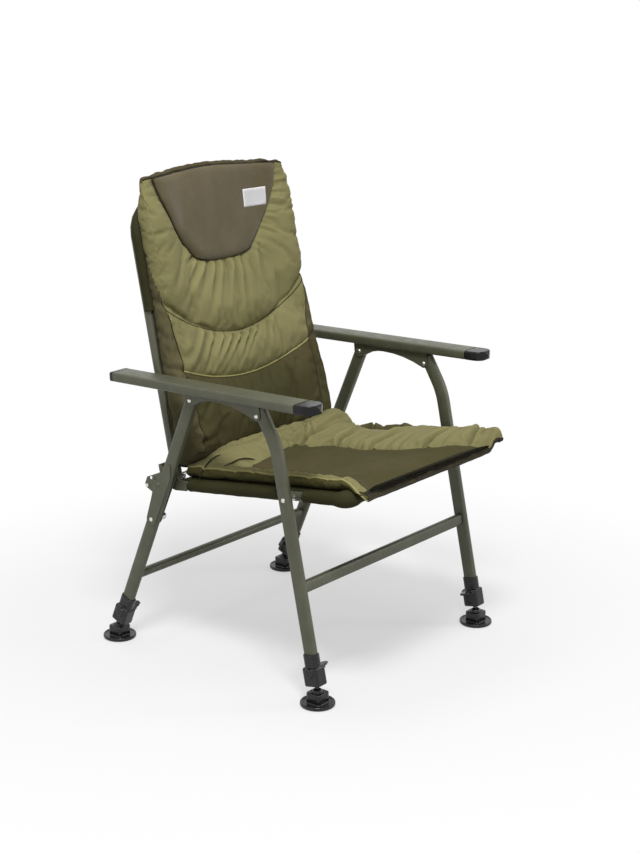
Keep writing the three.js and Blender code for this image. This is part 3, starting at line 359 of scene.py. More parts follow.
def swap_mesh(obj, mesh):
    old = obj.data
    obj.data = mesh
    bpy.data.meshes.remove(old)


def apply_modifiers(obj):
    deps = bpy.context.evaluated_depsgraph_get()
    shown = obj.evaluated_get(deps)
    baked = bpy.data.meshes.new_from_object(shown, preserve_all_data_layers=True, depsgraph=deps)
    obj.modifiers.clear()
    swap_mesh(obj, baked)


def subdivide(obj):
    mod = obj.modifiers.new("fine", "SUBSURF")
    mod.levels = mod.render_levels = 1
    mod.boundary_smooth = "PRESERVE_CORNERS"
    apply_modifiers(obj)


def face_out(obj, close=False):
    """Turns the faces outward, where asked after one flat face has closed the open rim."""
    bm = bmesh.new()
    bm.from_mesh(obj.data)
    if close:
        bmesh.ops.contextual_create(bm, geom=[e for e in bm.edges if e.is_boundary])
    bmesh.ops.recalc_face_normals(bm, faces=bm.faces)
    bm.to_mesh(obj.data)
    bm.free()


FRAMES = 20


def inflate(obj, loose, pressure, cap, shrink):
    """Cloth simulation with air in it, up to the cap in millimetres.

    loose says from 0, sewn down, to 1, free, for each vertex.
    """
    start = read_points(obj)
    group = obj.vertex_groups.new(name="sewn")
    for i, w in enumerate(1.0 - np.clip(loose, 0, 1)):
        if w > 0.02:
            group.add([i], float(w), "REPLACE")
    cloth = obj.modifiers.new("cloth", "CLOTH")
    s = cloth.settings
    s.quality = 5
    s.mass = 0.15
    s.tension_stiffness = s.compression_stiffness = 12.0
    s.shear_stiffness = 4.0
    s.bending_stiffness = 0.4
    s.air_damping = 2.0
    s.use_pressure = True
    s.uniform_pressure_force = pressure
    s.shrink_min = shrink
    s.vertex_group_mass = "sewn"
    s.pin_stiffness = 1.0
    s.effector_weights.gravity = 0.0
    cloth.collision_settings.use_collision = False
    cloth.point_cache.frame_start = 1
    cloth.point_cache.frame_end = FRAMES
    scene = bpy.context.scene
    for f in range(1, FRAMES + 1):
        scene.frame_set(f)
    shift = read_points(obj.evaluated_get(bpy.context.evaluated_depsgraph_get())) - start
    length = np.linalg.norm(shift, axis=1)
    keep = np.minimum(1.0, cap * MM / np.maximum(length, 1e-9))
    obj.modifiers.clear()
    obj.vertex_groups.clear()
    write_points(obj, start + shift * keep[:, None])
    scene.frame_set(1)


TUBE_SIDES = 8


def tube_piece(name, points, radius, material, closed=False):
    """A round cord through points (world, metres), with flat ends."""
    pts = [Vector(p) for p in points]
    n, sides = len(pts), TUBE_SIDES
    verts, faces = [], []
    normal = None
    for i, p in enumerate(pts):
        a = pts[(i - 1) % n] if closed or i > 0 else pts[i]
        b = pts[(i + 1) % n] if closed or i < n - 1 else pts[i]
        t = (b - a).normalized()
        if normal is None:
            normal = Vector((0, 0, 1)) if abs(t.z) < 0.9 else Vector((1, 0, 0))
        normal = (normal - t * normal.dot(t)).normalized()
        other = t.cross(normal)
        r = radius[i] if hasattr(radius, "__len__") else radius
        for k in range(sides):
            ang = 2 * math.pi * k / sides
            verts.append(p + normal * (r * math.cos(ang)) + other * (r * math.sin(ang)))
    for i in range(n if closed else n - 1):
        j = (i + 1) % n
        for k in range(sides):
            l = (k + 1) % sides
            faces.append((i * sides + k, i * sides + l, j * sides + l, j * sides + k))
    if not closed:
        faces.append(tuple(reversed(range(sides))))
        faces.append(tuple((n - 1) * sides + k for k in range(sides)))
    return make_object(name, verts, faces, [material])


def join_into(obj, others):
    """Joins small pieces into one mesh. Materials stay."""
    bm = bmesh.new()
    mats = list(obj.data.materials)
    for o in [obj] + others:
        mats += [m for m in o.data.materials if m not in mats]
        place = [mats.index(m) for m in o.data.materials]
        before = len(bm.faces)
        bm.from_mesh(o.data)
        bm.faces.ensure_lookup_table()
        for f in bm.faces[before:]:
            f.material_index = place[f.material_index]
    mesh = bpy.data.meshes.new(obj.name)
    for m in mats:
        mesh.materials.append(m)
    bm.to_mesh(mesh)
    bm.free()
    swap_mesh(obj, mesh)
    for o in others:
        bpy.data.objects.remove(o)


# ---------------------------------------------------------------- rigid nodes
BODY_OF = {node_name: body_name for body_name, empty in frame["bodies"].items()
           for node_name, node in NODES.items() if node.parent == empty}
SIDES = ("left", "right")
ENDS = ("front", "rear")
# a front cap ends this much sooner than its node, drawn in over this length
NOSE_CUT, NOSE_RUN = 8 * MM, 34 * MM
# how far back its end is rounded in plan, and at the top and bottom
NOSE_PLAN, NOSE_DEPTH = 30 * MM, 8 * MM


def dress(name, material):
    """A node's own mesh: welded, smooth, and sharp only where its edges are."""
    node = NODES[name]
    coat(node, material)
    node.modifiers.new("weld", "WELD").merge_threshold = 0.02 * MM
    node.modifiers.new("edges", "EDGE_SPLIT").split_angle = math.radians(34)


def soften(name, material, voxel, rounds):
    """A moulded piece with rounded edges in the place of its plain node."""
    obj = add_object(name + "_moulded", NODES[name].data.copy())
    mod = obj.modifiers.new("remesh", "REMESH")
    mod.mode = "VOXEL"
    mod.voxel_size = voxel * MM
    mod = obj.modifiers.new("round", "SMOOTH")
    mod.factor = 0.5
    mod.iterations = rounds
    apply_modifiers(obj)
    coat(obj, material)
    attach(obj, BODY_OF[name])
    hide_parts(name)
    return obj


def round_nose(obj):
    """Shortens and rounds a cap's front end."""
    v = read_points(obj)
    low, high = v.min(axis=0), v.max(axis=0)
    middle = (low + high) / 2
    v[:, 1] += NOSE_CUT * np.clip(1 - (v[:, 1] - low[1]) / NOSE_RUN, 0, 1)
    behind = v[:, 1] - (low[1] + NOSE_CUT)
    for axis, reach, power, least in ((0, NOSE_PLAN, 2.4, 0.12), (2, NOSE_DEPTH, 2, 0.3)):
        round_off = np.sqrt(np.clip(1 - (1 - np.clip(behind / reach, 0, 1)) ** power, 0, 1))
        v[:, axis] = middle[axis] + (v[:, axis] - middle[axis]) * np.maximum(round_off, least)
    write_points(obj, v)


painted = ["seat_frame", "back_frame", "front_crossbar", "rear_crossbar"]
plastic = []
zinc = ["link_tie_rod"]
for s in SIDES:
    painted += [s + n for n in ("_hinge_plate", "_front_leg", "_rear_leg", "_armrest", "_arm_bracket",
                                "_lock_link")]
    plastic += [s + n for n in ("_front_leg_plug", "_arm_front_cap", "_arm_rear_cap")]
    zinc += [s + n for n in ("_hinge_bolt", "_seat_rivet", "_front_arm_rivet", "_rear_arm_rivet", "_link_bolt")]
    for e in ENDS:
        painted.append(s + "_" + e + "_inner_leg")
        plastic += [s + "_" + e + n for n in ("_leg_clamp", "_clamp_lever", "_foot_ball", "_foot")]
for names, material in ((painted, PAINT), (plastic, PLASTIC), (zinc, ZINC)):
    for n in names:
        dress(n, material)
for s in SIDES:
    round_nose(soften(s + "_arm_front_cap", CAP, 1.3, 5))
    soften(s + "_arm_rear_cap", PLASTIC, 1.2, 6)
    for e in ENDS:
        soften(s + "_" + e + "_clamp_lever", PLASTIC, 0.8, 4)
        soften(s + "_" + e + "_foot", PLASTIC, 1.1, 3)
        soften(s + "_" + e + "_leg_clamp", PLASTIC, 0.9, 4)

# ---------------------------------------------------------------- sewn pads and their folds


def smooth_ring(values, reach=4):
    v = np.asarray(values, float)
    return sum(np.roll(v, k) for k in range(-reach, reach + 1)) / (2 * reach + 1)


class Pad:
    """A sewn pad on a flat base, as a grid of quads: its rows and columns follow the seams.

    Push says how far the walls bulge, foot how far the base line is drawn in, and curl how late that starts.
    """

    def __init__(self, plane, base, plan, height, columns, rows, push, foot, walls, curl):
        self.plane, self.walls = plane, walls
        self.seam_cols = (columns[0], columns[0] + columns[1])
        self.cols, rows = sum(columns), sum(rows)
        cols = self.cols
        a, b = np.meshgrid(np.linspace(-1, 1, cols + 1), np.linspace(-1, 1, rows + 1))
        a, b = a.ravel(), b.ravel()
        X, U = plan(a, b)
        pts = np.column_stack([X, U, height(a, b, X, U)])
        self.at = at = lambda i, j: j * (cols + 1) + i
        edge = [at(i, 0) for i in range(cols)] + [at(cols, j) for j in range(rows)]
        edge += [at(i, rows) for i in range(cols, 0, -1)] + [at(0, j) for j in range(rows, 0, -1)]
        side = np.array(["front"] * cols + ["left"] * rows + ["rear"] * cols + ["right"] * rows)
        E = pts[edge]
        self.edge, self.side, self.E = edge, side, E
        self.turns = (0, cols, cols + rows, 2 * cols + rows, len(edge))
        nxt = np.roll(E, -1, axis=0)[:, :2] - np.roll(E, 1, axis=0)[:, :2]
        out = np.column_stack([nxt[:, 1], -nxt[:, 0]])
        out /= np.maximum(np.linalg.norm(out, axis=1), 1e-9)[:, None]
        bulge = smooth_ring(push(side))
        inset = np.column_stack([smooth_ring(c) for c in foot(side, E)])
        rings = []
        for k in range(1, walls + 1):
            t = k / walls
            ring = E.copy()
            swell = math.sin(math.pi * t) ** 0.8 if k < walls else 0.0
            ring[:, :2] += inset * t ** curl + out * (bulge * swell)[:, None]
            ring[:, 2] = base + (E[:, 2] - base) * (1 - t)
            rings.append(ring)
        self.points = np.vstack([pts] + rings)
        self.ring = lambda k, e: (edge[e] if k == 0 else len(pts) + (k - 1) * len(edge) + e)
        faces, tags = [], []
        for j in range(rows):
            for i in range(cols):
                faces.append((at(i, j), at(i + 1, j), at(i + 1, j + 1), at(i, j + 1)))
                tags.append(("top", i, j))
        for e in range(len(edge)):
            f = (e + 1) % len(edge)
            for k in range(walls):
                faces.append((self.ring(k, e), self.ring(k + 1, e), self.ring(k + 1, f), self.ring(k, f)))
                tags.append((side[e], e, k))
        self.faces, self.tags = faces, tags
        self.top_count = len(pts)

    def build(self, name, materials, pick):
        idx = [pick(t) for t in self.tags]
        self.obj = make_object(name, self.plane.world(self.points), self.faces, materials, idx)
        return self.obj

    def column(self, c, first, stop):
        return [self.at(c, j) for j in range(first, stop)]

    def row(self, r, first, stop):
        return [self.at(i, r) for i in range(first, stop)]

    def free(self):
        """1 for each free vertex, and 0 at the outer seam and the base."""
        loose = np.ones(len(self.points))
        loose[self.top_count + (self.walls - 1) * len(self.edge):] = 0.0
        loose[self.edge] = 0.0
        return loose

    def line(self, places, lift_by):
        """World points of grid vertices after the simulation and folds."""
        q = self.plane.local(read_points(self.obj)[places])
        q[:, 2] += lift_by
        return self.plane.world(q)

    def edge_line(self, first, last, lift_by, ring=0):
        places = [self.ring(ring, e % len(self.edge)) for e in range(first, last + 1)]
        return self.line(places, lift_by)

    def around(self, lift_by):
        """The whole base line."""
        return self.edge_line(0, len(self.edge) - 1, lift_by, self.walls - 1)


def to_path(X, U, points):
    """Distance to a line of places, positive on its left, and the share of its length there."""
    best = np.full_like(X, 1e9)
    share = np.zeros_like(X)
    pts = np.asarray(points, float)
    seg = np.linalg.norm(np.diff(pts, axis=0), axis=1)
    total, run = seg.sum(), 0.0
    for k in range(len(pts) - 1):
        d = pts[k + 1] - pts[k]
        t = np.clip(((X - pts[k, 0]) * d[0] + (U - pts[k, 1]) * d[1]) / (d @ d), 0, 1)
        dist = np.hypot(X - pts[k, 0] - t * d[0], U - pts[k, 1] - t * d[1])
        left = d[0] * (U - pts[k, 1]) - d[1] * (X - pts[k, 0]) >= 0
        closer = dist < np.abs(best)
        best = np.where(closer, np.where(left, dist, -dist), best)
        share = np.where(closer, (run + t * seg[k]) / total, share)
        run += seg[k]
    return best, share


class Folds:
    """Gathers, laps and creases of a pad, added up as heights in the order they are made."""

    def __init__(self, seed):
        self.items = []
        self.rng = random.Random(seed)
        self.between = self.rng.uniform

    def add(self, x, u, angle, length, width, height, lead=4.0):
        """A ridge or valley from a place, in a direction, that fades out along its length."""
        self.items.append((self.gather, (x, u, math.cos(angle), math.sin(angle), length, width, height, lead)))

    def add_about(self, x, u, angle, spread, length, width, height, sign=None, lead=4.0):
        """The same with chance in it: sizes are given as ranges, and the sign may be left open."""
        angle += self.between(-spread, spread)
        long, wide = self.between(*length), self.between(*width)
        sign = self.rng.choice((-1, 1)) if sign is None else sign
        self.add(x, u, angle, long, wide, sign * self.between(*height), lead)

    def path(self, points, width, height):
        """A valley or ridge along a line of places."""
        self.items.append((self.crease, (points, width, height)))

    def lap(self, points, tail, height):
        """A step up behind a line of places, where one fold lies over the next."""
        self.items.append((self.step, (points, tail, height)))

    @staticmethod
    def ends(t):
        return np.clip(np.sin(math.pi * np.clip(t, 0.02, 0.98)) * 2.2, 0, 1)

    def crease(self, total, X, U, points, width, height):
        d, t = to_path(X, U, points)
        total += height * np.exp(-(d / width) ** 2) * self.ends(t)

    def step(self, total, X, U, points, tail, height):
        d, t = to_path(X, U, points)
        rise = 1 / (1 + np.exp(-np.clip(d / 0.9, -30, 30)))
        shape = rise * np.exp(-np.maximum(d, 0) / tail) - 0.45 * np.exp(-((d + 3) / 4) ** 2)
        total += self.ends(t) * height * shape

    def gather(self, total, X, U, x, u, c, s, length, width, height, lead):
        along = (X - x) * c + (U - u) * s
        perp = -(X - x) * s + (U - u) * c
        near = (along > -2 * lead) & (along < length * 1.6) & (np.abs(perp) < width * 3.6)
        a, p = along[near], perp[near]
        bend = 0.06 * a * math.sin(x * 0.7 + u * 0.3)
        wide = width * (0.6 + 0.55 * np.clip(a / length, 0, 1.4))
        fade = np.clip(1 - a / (1.5 * length), 0, 1) ** 1.3 * ease(a, -lead, lead)
        total[near] += height * np.exp(-((p - bend) / wide) ** 2) * fade

    def height(self, X, U):
        total = np.zeros_like(X)
        for form, sizes in self.items:
            form(total, X, U, *sizes)
        return total


def spaced(share, stops, counts):
    """Places of grid lines: counts says how many lie between each stop and the next."""
    step = (share + 1) / 2 * sum(counts)
    out = np.zeros_like(share)
    start = 0.0
    for k, n in enumerate(counts):
        here = (step >= start) & ((step < start + n) | (k == len(counts) - 1))
        t = (step - start) / n
        out = np.where(here, mix(stops[k], stops[k + 1], t), out)
        start += n
    return out


def table_at(table, places):
    return np.interp(places, *zip(*table))


def crease_at(distance, width):
    return np.exp(-np.abs(distance) / width)


# ---------------------------------------------------------------- seat pad
SEAT_HALF, SEAT_LOW, SEAT_HIGH = 240.0, -178.0, 318.0
BAND_SEAM = 222.0
SEAT_COLS = (20, 44, 26)
SEAT_ROWS = (80, 26)
FAR_SEAM = ((-190, 212), (-164, 184), (-110, 122), (-60, 96), (-24, 78), (18, 72), (62, 56), (100, 62),
            (150, 70), (190, 60), (222, 34), (330, 20))
NEAR_SEAM = ((-190, -222), (-120, -209), (60, -206), (120, -199), (170, -180), (200, -158), (222, -124),
             (330, -100))


def seat_plan(a, b):
    front = ease(-b, 0.5, 1.0)
    half = SEAT_HALF - 6 * (1 - b * b) - 7 * np.abs(b) ** 8 * (1 - front) - 5 * front * (a > 0)
    bow = 1 - a * a
    reach = (SEAT_HIGH - SEAT_LOW) / 2 - 6 * bow * (b > 0) - 7 * np.abs(a) ** 8 * (b > 0) - 3 * bow * (b < 0)
    mid = (SEAT_HIGH + SEAT_LOW) / 2
    u = spaced(b, [mid - reach, BAND_SEAM + 14 * np.sin((a + 0.2) * 1.6), mid + reach], SEAT_ROWS)
    return spaced(a, [-half, table_at(NEAR_SEAM, u), table_at(FAR_SEAM, u), half], SEAT_COLS), u


def seat_height(a, b, x, u):
    seam = table_at(FAR_SEAM, u)
    far = mix(ease(x, 92, 218), ease(x, seam - 50, 228), ease(-u, 40, 160))
    near = ease(-x, 176, 226)
    band = ease(u, SEAT_HIGH - 120, SEAT_HIGH - 30)
    band_top = 46 - 18 * ease(-x, 120, 238) + 7 * ease(x, 150, 225)
    rim = np.maximum(np.abs(a) ** 14 * 5, np.abs(b) ** 14 * 5)
    # the far bolster's front end stands upright, and the rest of the front rolls down
    raised = ease(x, np.maximum(seam - 6, 140), 222)
    droop = mix(ease(-u, 112, 186), ease(-u, 171, 181), raised)
    side = mix(11.0, 29.0, np.maximum(far, near)) - 6 * raised + raised * 7 * ease(-u, 20, 168)
    full = mix(side, band_top, band) - rim * (1 - raised * (b < 0))
    return SEAT_BASE + mix(full, mix(-15 + 6 * far, -3, raised), droop)


def seat_push(side):
    return np.where(side == "front", -2.0, np.where(side == "rear", 8.0, 5.0))


def seat_foot(side, _):
    dx = np.where(side == "right", 13.0, np.where(side == "left", -10.0, 0.0))
    du = np.where(side == "front", 18.0, np.where(side == "rear", -4.0, 0.0))
    return dx, du


seat = Pad(SEAT, SEAT_BASE, seat_plan, seat_height, SEAT_COLS, SEAT_ROWS, seat_push, seat_foot,
           walls=8, curl=4.0)
seam_cols = seat.seam_cols


def low_crest(u):
    """1 where the far bolster's crest dips, and its brown side cloth stands up behind it."""
    return ease(u, 44, 74) * ease(-u, -222, -194)


for ring, lift in ((1, 33.0), (2, 26.0), (3, 16.0), (4, 7.0)):
    places = [seat.ring(ring, e) for e in range(len(seat.edge))]
    seat.points[places, 2] += lift * low_crest(seat.E[:, 1]) * (seat.side == "left")


def seat_pick(tag):
    """The material of each face: light, dark, brown, edging, or brown with painted shade on the near gusset."""
    kind, i, j = tag
    if kind == "top":
        return 1 if seam_cols[0] <= i < seam_cols[1] and j < SEAT_ROWS[0] else 0
    # the near side's gusset takes the brown cloth with painted shade
    if kind in ("front", "right"):
        return 3 if kind == "front" else 4
    gusset = kind == "left" and 50 < seat.E[i, 1] < 214
    return 2 if gusset or j >= 1 else 0


seat_pad = seat.build("seat_cushion", [LIGHT, DARK, BROWN, EDGING, BROWN_IN_SHADE], seat_pick)
near_line, far_line = (seat.column(c, 0, SEAT_ROWS[0] + 1) for c in seam_cols)
band_line = seat.row(SEAT_ROWS[0], seam_cols[0], seam_cols[1] + 1)
loose = seat.free()
loose[near_line + far_line + band_line] = 0.0
px, pu = seat.points[:, 0], seat.points[:, 1]
centre = (px > table_at(NEAR_SEAM, pu)) & (px < table_at(FAR_SEAM, pu)) & (pu < BAND_SEAM)
centre[seat.top_count:] = False
loose[centre] *= 0.3
inflate(seat_pad, loose, pressure=7.0, cap=9.0, shrink=-0.035)
subdivide(seat_pad)

seat_folds = Folds(11)
between = seat_folds.between
# tucks along the far bolster's seam: place, depth and direction. The crest puffs up between the deep ones.
CREST_END, TUCK_DEEP = 238, 7
deep_tucks = []
for u0, deep, ang in ((-140, 10, 0.25), (-100, 4, 0.1), (-63, 14, -0.1), (-14, 6, 0.15), (16, 5, 0.05),
                      (53, 15, -0.1), (96, 6, 0.1), (150, 16, 0.1), (186, 6, -0.1), (226, 15, 0.1)):
    x0 = float(table_at(FAR_SEAM, u0)) + 2
    is_deep = deep > TUCK_DEEP
    seat_folds.add(x0, u0, ang, 210 if is_deep else 70, 3.6, -1.0 * deep)
    if is_deep:
        deep_tucks.append(u0)
        reach, rise = CREST_END - x0, math.sin(ang)
        ahead = u0 + 2.0
        middle = (x0 + reach * 0.5, ahead + reach * 0.5 * rise)
        seat_folds.lap([(x0 - 4, ahead), middle, (CREST_END + 8, ahead + reach * rise)], 16.0, 0.5 * deep)
    seat_folds.add(x0, u0 + 13, ang, 150 if is_deep else 70, 8.0, deep * 0.55)
    seat_folds.add(x0, u0 - 13, ang, 120 if is_deep else 60, 7.0, deep * 0.35)
for u0 in (-120, -78, -20, 36, 84, 130, 172):
    seat_folds.add_about(-SEAT_HALF + 4, u0 + between(-10, 10), 0.0, 0.5, (22, 44), (4, 7), (2.0, 4.0), -1)
# the deep folds at the near end of the rear band, whose mouths get dark strips as painted shadow, and the long
# ones that follow them
LAPS = (
    ([(-264, 254), (-240, 264), (-208, 268), (-172, 266)], 22.0, 6.0),
    ([(-226, 216), (-196, 228), (-160, 230), (-112, 222)], 22.0, 5.0),
)
LONG_LAPS = (
    ([(-70, 252), (0, 248), (50, 236), (92, 224)], 26.0, 5.0),
    ([(-90, 282), (-20, 284), (60, 270), (120, 262)], 22.0, 3.5),
)
for sizes in LAPS + LONG_LAPS:
    seat_folds.lap(*sizes)
for sizes in (([(-140, 296), (-80, 282), (0, 270)], 10.0, -4.0), ([(-120, 312), (-40, 296), (60, 286)], 9.0, 3.0),
              ([(-60, 268), (20, 262), (90, 272)], 8.0, 3.5)):
    seat_folds.path(*sizes)
for x0, *sizes in ((64, 0.75, 110, 5, -8), (84, 0.95, 100, 7, 5), (96, 1.15, 90, 5, -7), (38, 1.0, 80, 5, -5),
                   (12, 1.35, 70, 6, -4), (-30, 1.5, 60, 6, -3), (-70, 1.7, 54, 6, -3)):
    seat_folds.add(x0, BAND_SEAM + 6, *sizes)
for x0 in (-130, -90, -50, -10, 25):
    x0 += between(-8, 8)
    seat_folds.add_about(x0, BAND_SEAM - 4, -math.pi / 2, 0.5, (30, 80), (6, 9), (0.8, 1.6))
for sizes in ((-150, -60, 0.5, 160, 12, 1.4), (-120, 60, 0.35, 170, 14, -1.4), (-60, -150, 1.1, 150, 12, 1.2),
              (20, -120, 1.4, 140, 10, -1.2)):
    seat_folds.add(*sizes)
TUCKS = np.array([SEAT_LOW] + deep_tucks + [261.0, SEAT_HIGH])


def finish_seat():
    p = SEAT.local(read_points(seat_pad))
    X, U, H = p[:, 0].copy(), p[:, 1].copy(), p[:, 2].copy()
    top = ease(H, SEAT_BASE + 5, SEAT_BASE + 11)
    H = H + seat_folds.height(X, U) * top
    crease = np.zeros_like(X)
    for places in (near_line, far_line):
        line = p[places]
        seam = np.interp(U, line[:, 1], line[:, 0])
        crease += np.where(U < BAND_SEAM + 14, crease_at(X - seam, 5.0), 0)
    line = p[band_line]
    seam = np.interp(X, line[:, 0], line[:, 1])
    on_band = (X > line[:, 0].min() - 3) & (X < line[:, 0].max() + 3)
    crease += np.where(on_band, crease_at(U - seam, 5.0), 0)
    H = H - 3.4 * np.clip(crease, 0, 1.1) * top
    # the far seam wanders between its tucks
    wander = 5.0 * wave(U, U * 0 + 2, 30, 15) + 3.0 * wave(U, U * 0, 13, 16)
    X = X + wander * bell(X - table_at(FAR_SEAM, U), 22) * (U < 214)
    # the crest of the far bolster rises and dips, and its brown side shows over it where it dips
    crest = ease(X, 150, 226)
    place = np.clip(np.searchsorted(TUCKS, U) - 1, 0, len(TUCKS) - 2)
    start, stop = TUCKS[place], TUCKS[place + 1]
    puff = np.sqrt(np.clip(1 - (2 * (U - start) / (stop - start) - 1) ** 2, 0, 1))
    H = H + crest * top * (9.0 * puff - 7.0)
    ripple = 2.0 * wave(U, U * 0 + 3, 46, 5) + 1.6 * wave(U, U * 0, 19, 6)
    H = H + crest * top * (ripple - 22 * low_crest(U) - 5 * bell(U - 232, 14) + 5 * bell(U - 272, 26))
    near = ease(-X, 186, 232)
    H = H + near * (2.4 * wave(U, U * 0 + 9, 50, 8) + 1.4 * wave(U, U * 0, 18, 9)) * top
    H = H + top * (1.2 * wave(X, U, 48, 1) + 0.5 * wave(X, U, 18, 2))
    U = U + 2.0 * wave(X, X * 0, 30, 12) * ease(-U, 130, 176)
    # sides: slack cloth with upright puckers
    outer = np.maximum(np.abs(X) - 205, np.abs(U - 70) - 225)
    low = ease(SEAT_BASE + 26 - H, 0, 16) * ease(outer, 0, 12)
    pucker = 1.6 * wave(U + X, U * 0, 15, 18) + 1.2 * wave(U + X, H * 2.0, 34, 19)
    X = X + np.sign(X) * pucker * low * (np.abs(X) > 205)
    write_points(seat_pad, SEAT.world(np.column_stack([X, U, H])))


finish_seat()


def surface_height(pad, points):
    """Local height of a pad's top at places, from its finished mesh."""
    q = pad.plane.local(read_points(pad.obj))
    out = []
    for x, u in points:
        d = np.hypot(q[:, 0] - x, q[:, 1] - u)
        out.append(np.percentile(q[d < max(4.0, d.min() + 0.5), 2], 60))
    return np.array(out)


def fold_shadow_strip(name, pad, points, radius):
    """A thin dark strip along a fold's mouth, thinner towards its ends: painted shadow of the slit there."""
    run = np.concatenate([[0], np.cumsum(np.linalg.norm(np.diff(points, axis=0), axis=1))])
    share = np.linspace(0.06, 0.94, 25)
    t = share * run[-1]
    x, u = (np.interp(t, run, places) for places in zip(*points))
    h = np.polyval(np.polyfit(t, surface_height(pad, zip(x, u)), 3), t)
    thick = radius * MM * np.sin(share * math.pi) ** 0.6
    return tube_piece(name, pad.plane.world(np.column_stack([x, u - 1.0, h + 1.0])), thick, EDGING)


def trim_pad(pad, pieces):
    """Closes a pad's underside, made last so it stays flat, and joins its cords to it."""
    face_out(pad.obj, close=True)
    join_into(pad.obj, pieces)


turns = seat.turns
# the dark strips in the deep folds' mouths are painted shadow
trim_pad(seat, [fold_shadow_strip("fold%d" % k, seat, lap[0], 1.7) for k, lap in enumerate(LAPS)] + [
    tube_piece("right_cord", seat.edge_line(turns[3], turns[4], 0.3), 0.0019, PIPING),
    tube_piece("left_cord", seat.edge_line(turns[1], turns[2], 0.0), 0.0015, LIGHT),
    tube_piece("rear_cord", seat.edge_line(turns[2], turns[3], 0.0), 0.0017, PIPING),
    tube_piece("front_cord", seat.edge_line(turns[0], turns[1], 1.4), 0.0027, EDGING),
    tube_piece("base_cord", seat.around(0.6), 0.0018, EDGING, closed=True),
])
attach(seat_pad, "seat")
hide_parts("seat_pad")

# ---------------------------------------------------------------- back pad
BACK_HALF, BACK_LOW, BACK_HIGH = 236.0, 46.0, 634.0
BACK_COLS = (6, 78, 6)
BACK_ROWS = (24, 18, 62)
HEAD_LOW = 443.0
HEAD_SIDE_LOW = 455.0
HEAD_SHAPE = ((0.0, 90.0), (0.06, 100.0), (0.19, 121.0), (0.39, 146.0), (0.59, 164.0), (0.75, 177.0),
              (1.0, 190.0))


def seam_high(x):
    return 281 + 102 * (x / BACK_HALF) ** 2


def seam_low(x):
    return 184 + 54 * (x / BACK_HALF) ** 2


def strip_edge(u):
    """Half-width of the inner panels, where the brown side strips begin."""
    low = mix(198.0, 206.0, ease(u, 48, 228))
    return mix(low, 229.0, ease(u, 228, 383))


def top_edge(x):
    return BACK_HIGH + 12 * bell(x + 25, 130) - 6 * ease(x, 130, 226)


def back_plan(a, b):
    ends = 9 * np.clip(b, 0, 1) ** 10
    half = BACK_HALF - 10 * (b + 1) / 2 - 4 * (1 - b * b) - ends - 6 * np.clip(-b, 0, 1) ** 8
    rough = a * BACK_HALF
    high = top_edge(rough) - 8 * np.abs(a) ** 10
    low = BACK_LOW + 8 * np.abs(a) ** 8
    u = spaced(b, [low, seam_low(rough), seam_high(rough), high], BACK_ROWS)
    inner = np.minimum(strip_edge(u), half - 5)
    return spaced(a, [-half, -inner, inner, half], BACK_COLS), u


def back_front(x, u):
    head = ease(u, HEAD_LOW - 146, HEAD_LOW + 4)
    flank = mix(60, 42, ease(u, 48, 308))
    up = ease(u, BACK_HIGH - 110, BACK_HIGH - 10)
    high_crest = np.where(x > 0, 38.0, 27.0)
    crest = mix(flank, high_crest, up)
    side = ease(np.abs(x), BACK_HALF - 126, BACK_HALF - 24)
    middle = mix(mix(38, 13, head), 17, up)
    return BACK_BASE + mix(middle, crest, side)


def seam_dip(x, u):
    high = u - seam_high(x)
    low = u - seam_low(x)
    dip = 11 * np.exp(-np.where(high > 0, high / 17, -high / 26))
    return dip + 5 * np.exp(-np.where(low > 0, low / 20, -low / 16))


def back_height(a, b, x, u):
    rim = np.maximum(np.abs(a) ** 14 * 4, np.abs(b) ** 14 * 5)
    return back_front(x, u) - seam_dip(x, u) - rim


def back_push(side):
    return np.where((side == "rear") | (side == "front"), 9.0, 6.0)


def back_foot(side, seam):
    x, u = seam[:, 0], seam[:, 1]
    high = ease(u, 556, 632)
    low = ease(-u, -110, -46)
    corner = ease(np.abs(x), 120, 226)
    near_low = 17.0 * ease(-x, 130, 232)
    dx = np.where(side == "right", 26.0, np.where(side == "left", -18.0, 0.0)) * high
    dx = np.where(side == "rear", -np.sign(x) * 24.0 * corner ** 3, dx)
    du = np.where(side == "rear", -2.0 - 8 * corner, 0.0)
    du = np.where(side == "front", -22.0 + 5 * corner - near_low, du)
    du = np.where((side == "left") | (side == "right"), -17.0 * low - near_low * low - 9 * high, du)
    return dx, du


def head_half(u):
    """Half-width of the head cushion."""
    return table_at(HEAD_SHAPE, (u - HEAD_SIDE_LOW) / (BACK_HIGH - HEAD_SIDE_LOW))


def head_floor(x):
    """Lower edge of the head cushion."""
    return 441 + 14 * np.clip(np.abs(x) / 96, 0, 1.2) ** 3.2


def inside_head(x, u, margin):
    """1 well inside the head cushion's outline, 0 outside it."""
    return ease(head_half(u) - np.abs(x), 0, margin) * ease(u - head_floor(x), 0, margin)


back = Pad(BACK, BACK_BASE, back_plan, back_height, BACK_COLS, BACK_ROWS, back_push, back_foot,
           walls=9, curl=1.3)
seam_cols, turns = back.seam_cols, back.turns
seam_rows = (BACK_ROWS[0], BACK_ROWS[0] + BACK_ROWS[1])


# the light cloth of the sides begins here, and rises towards the base
SIDE_LIGHT, FAR_RISE, NEAR_RISE = 384, 60, 120
SIDE_DARK = 240


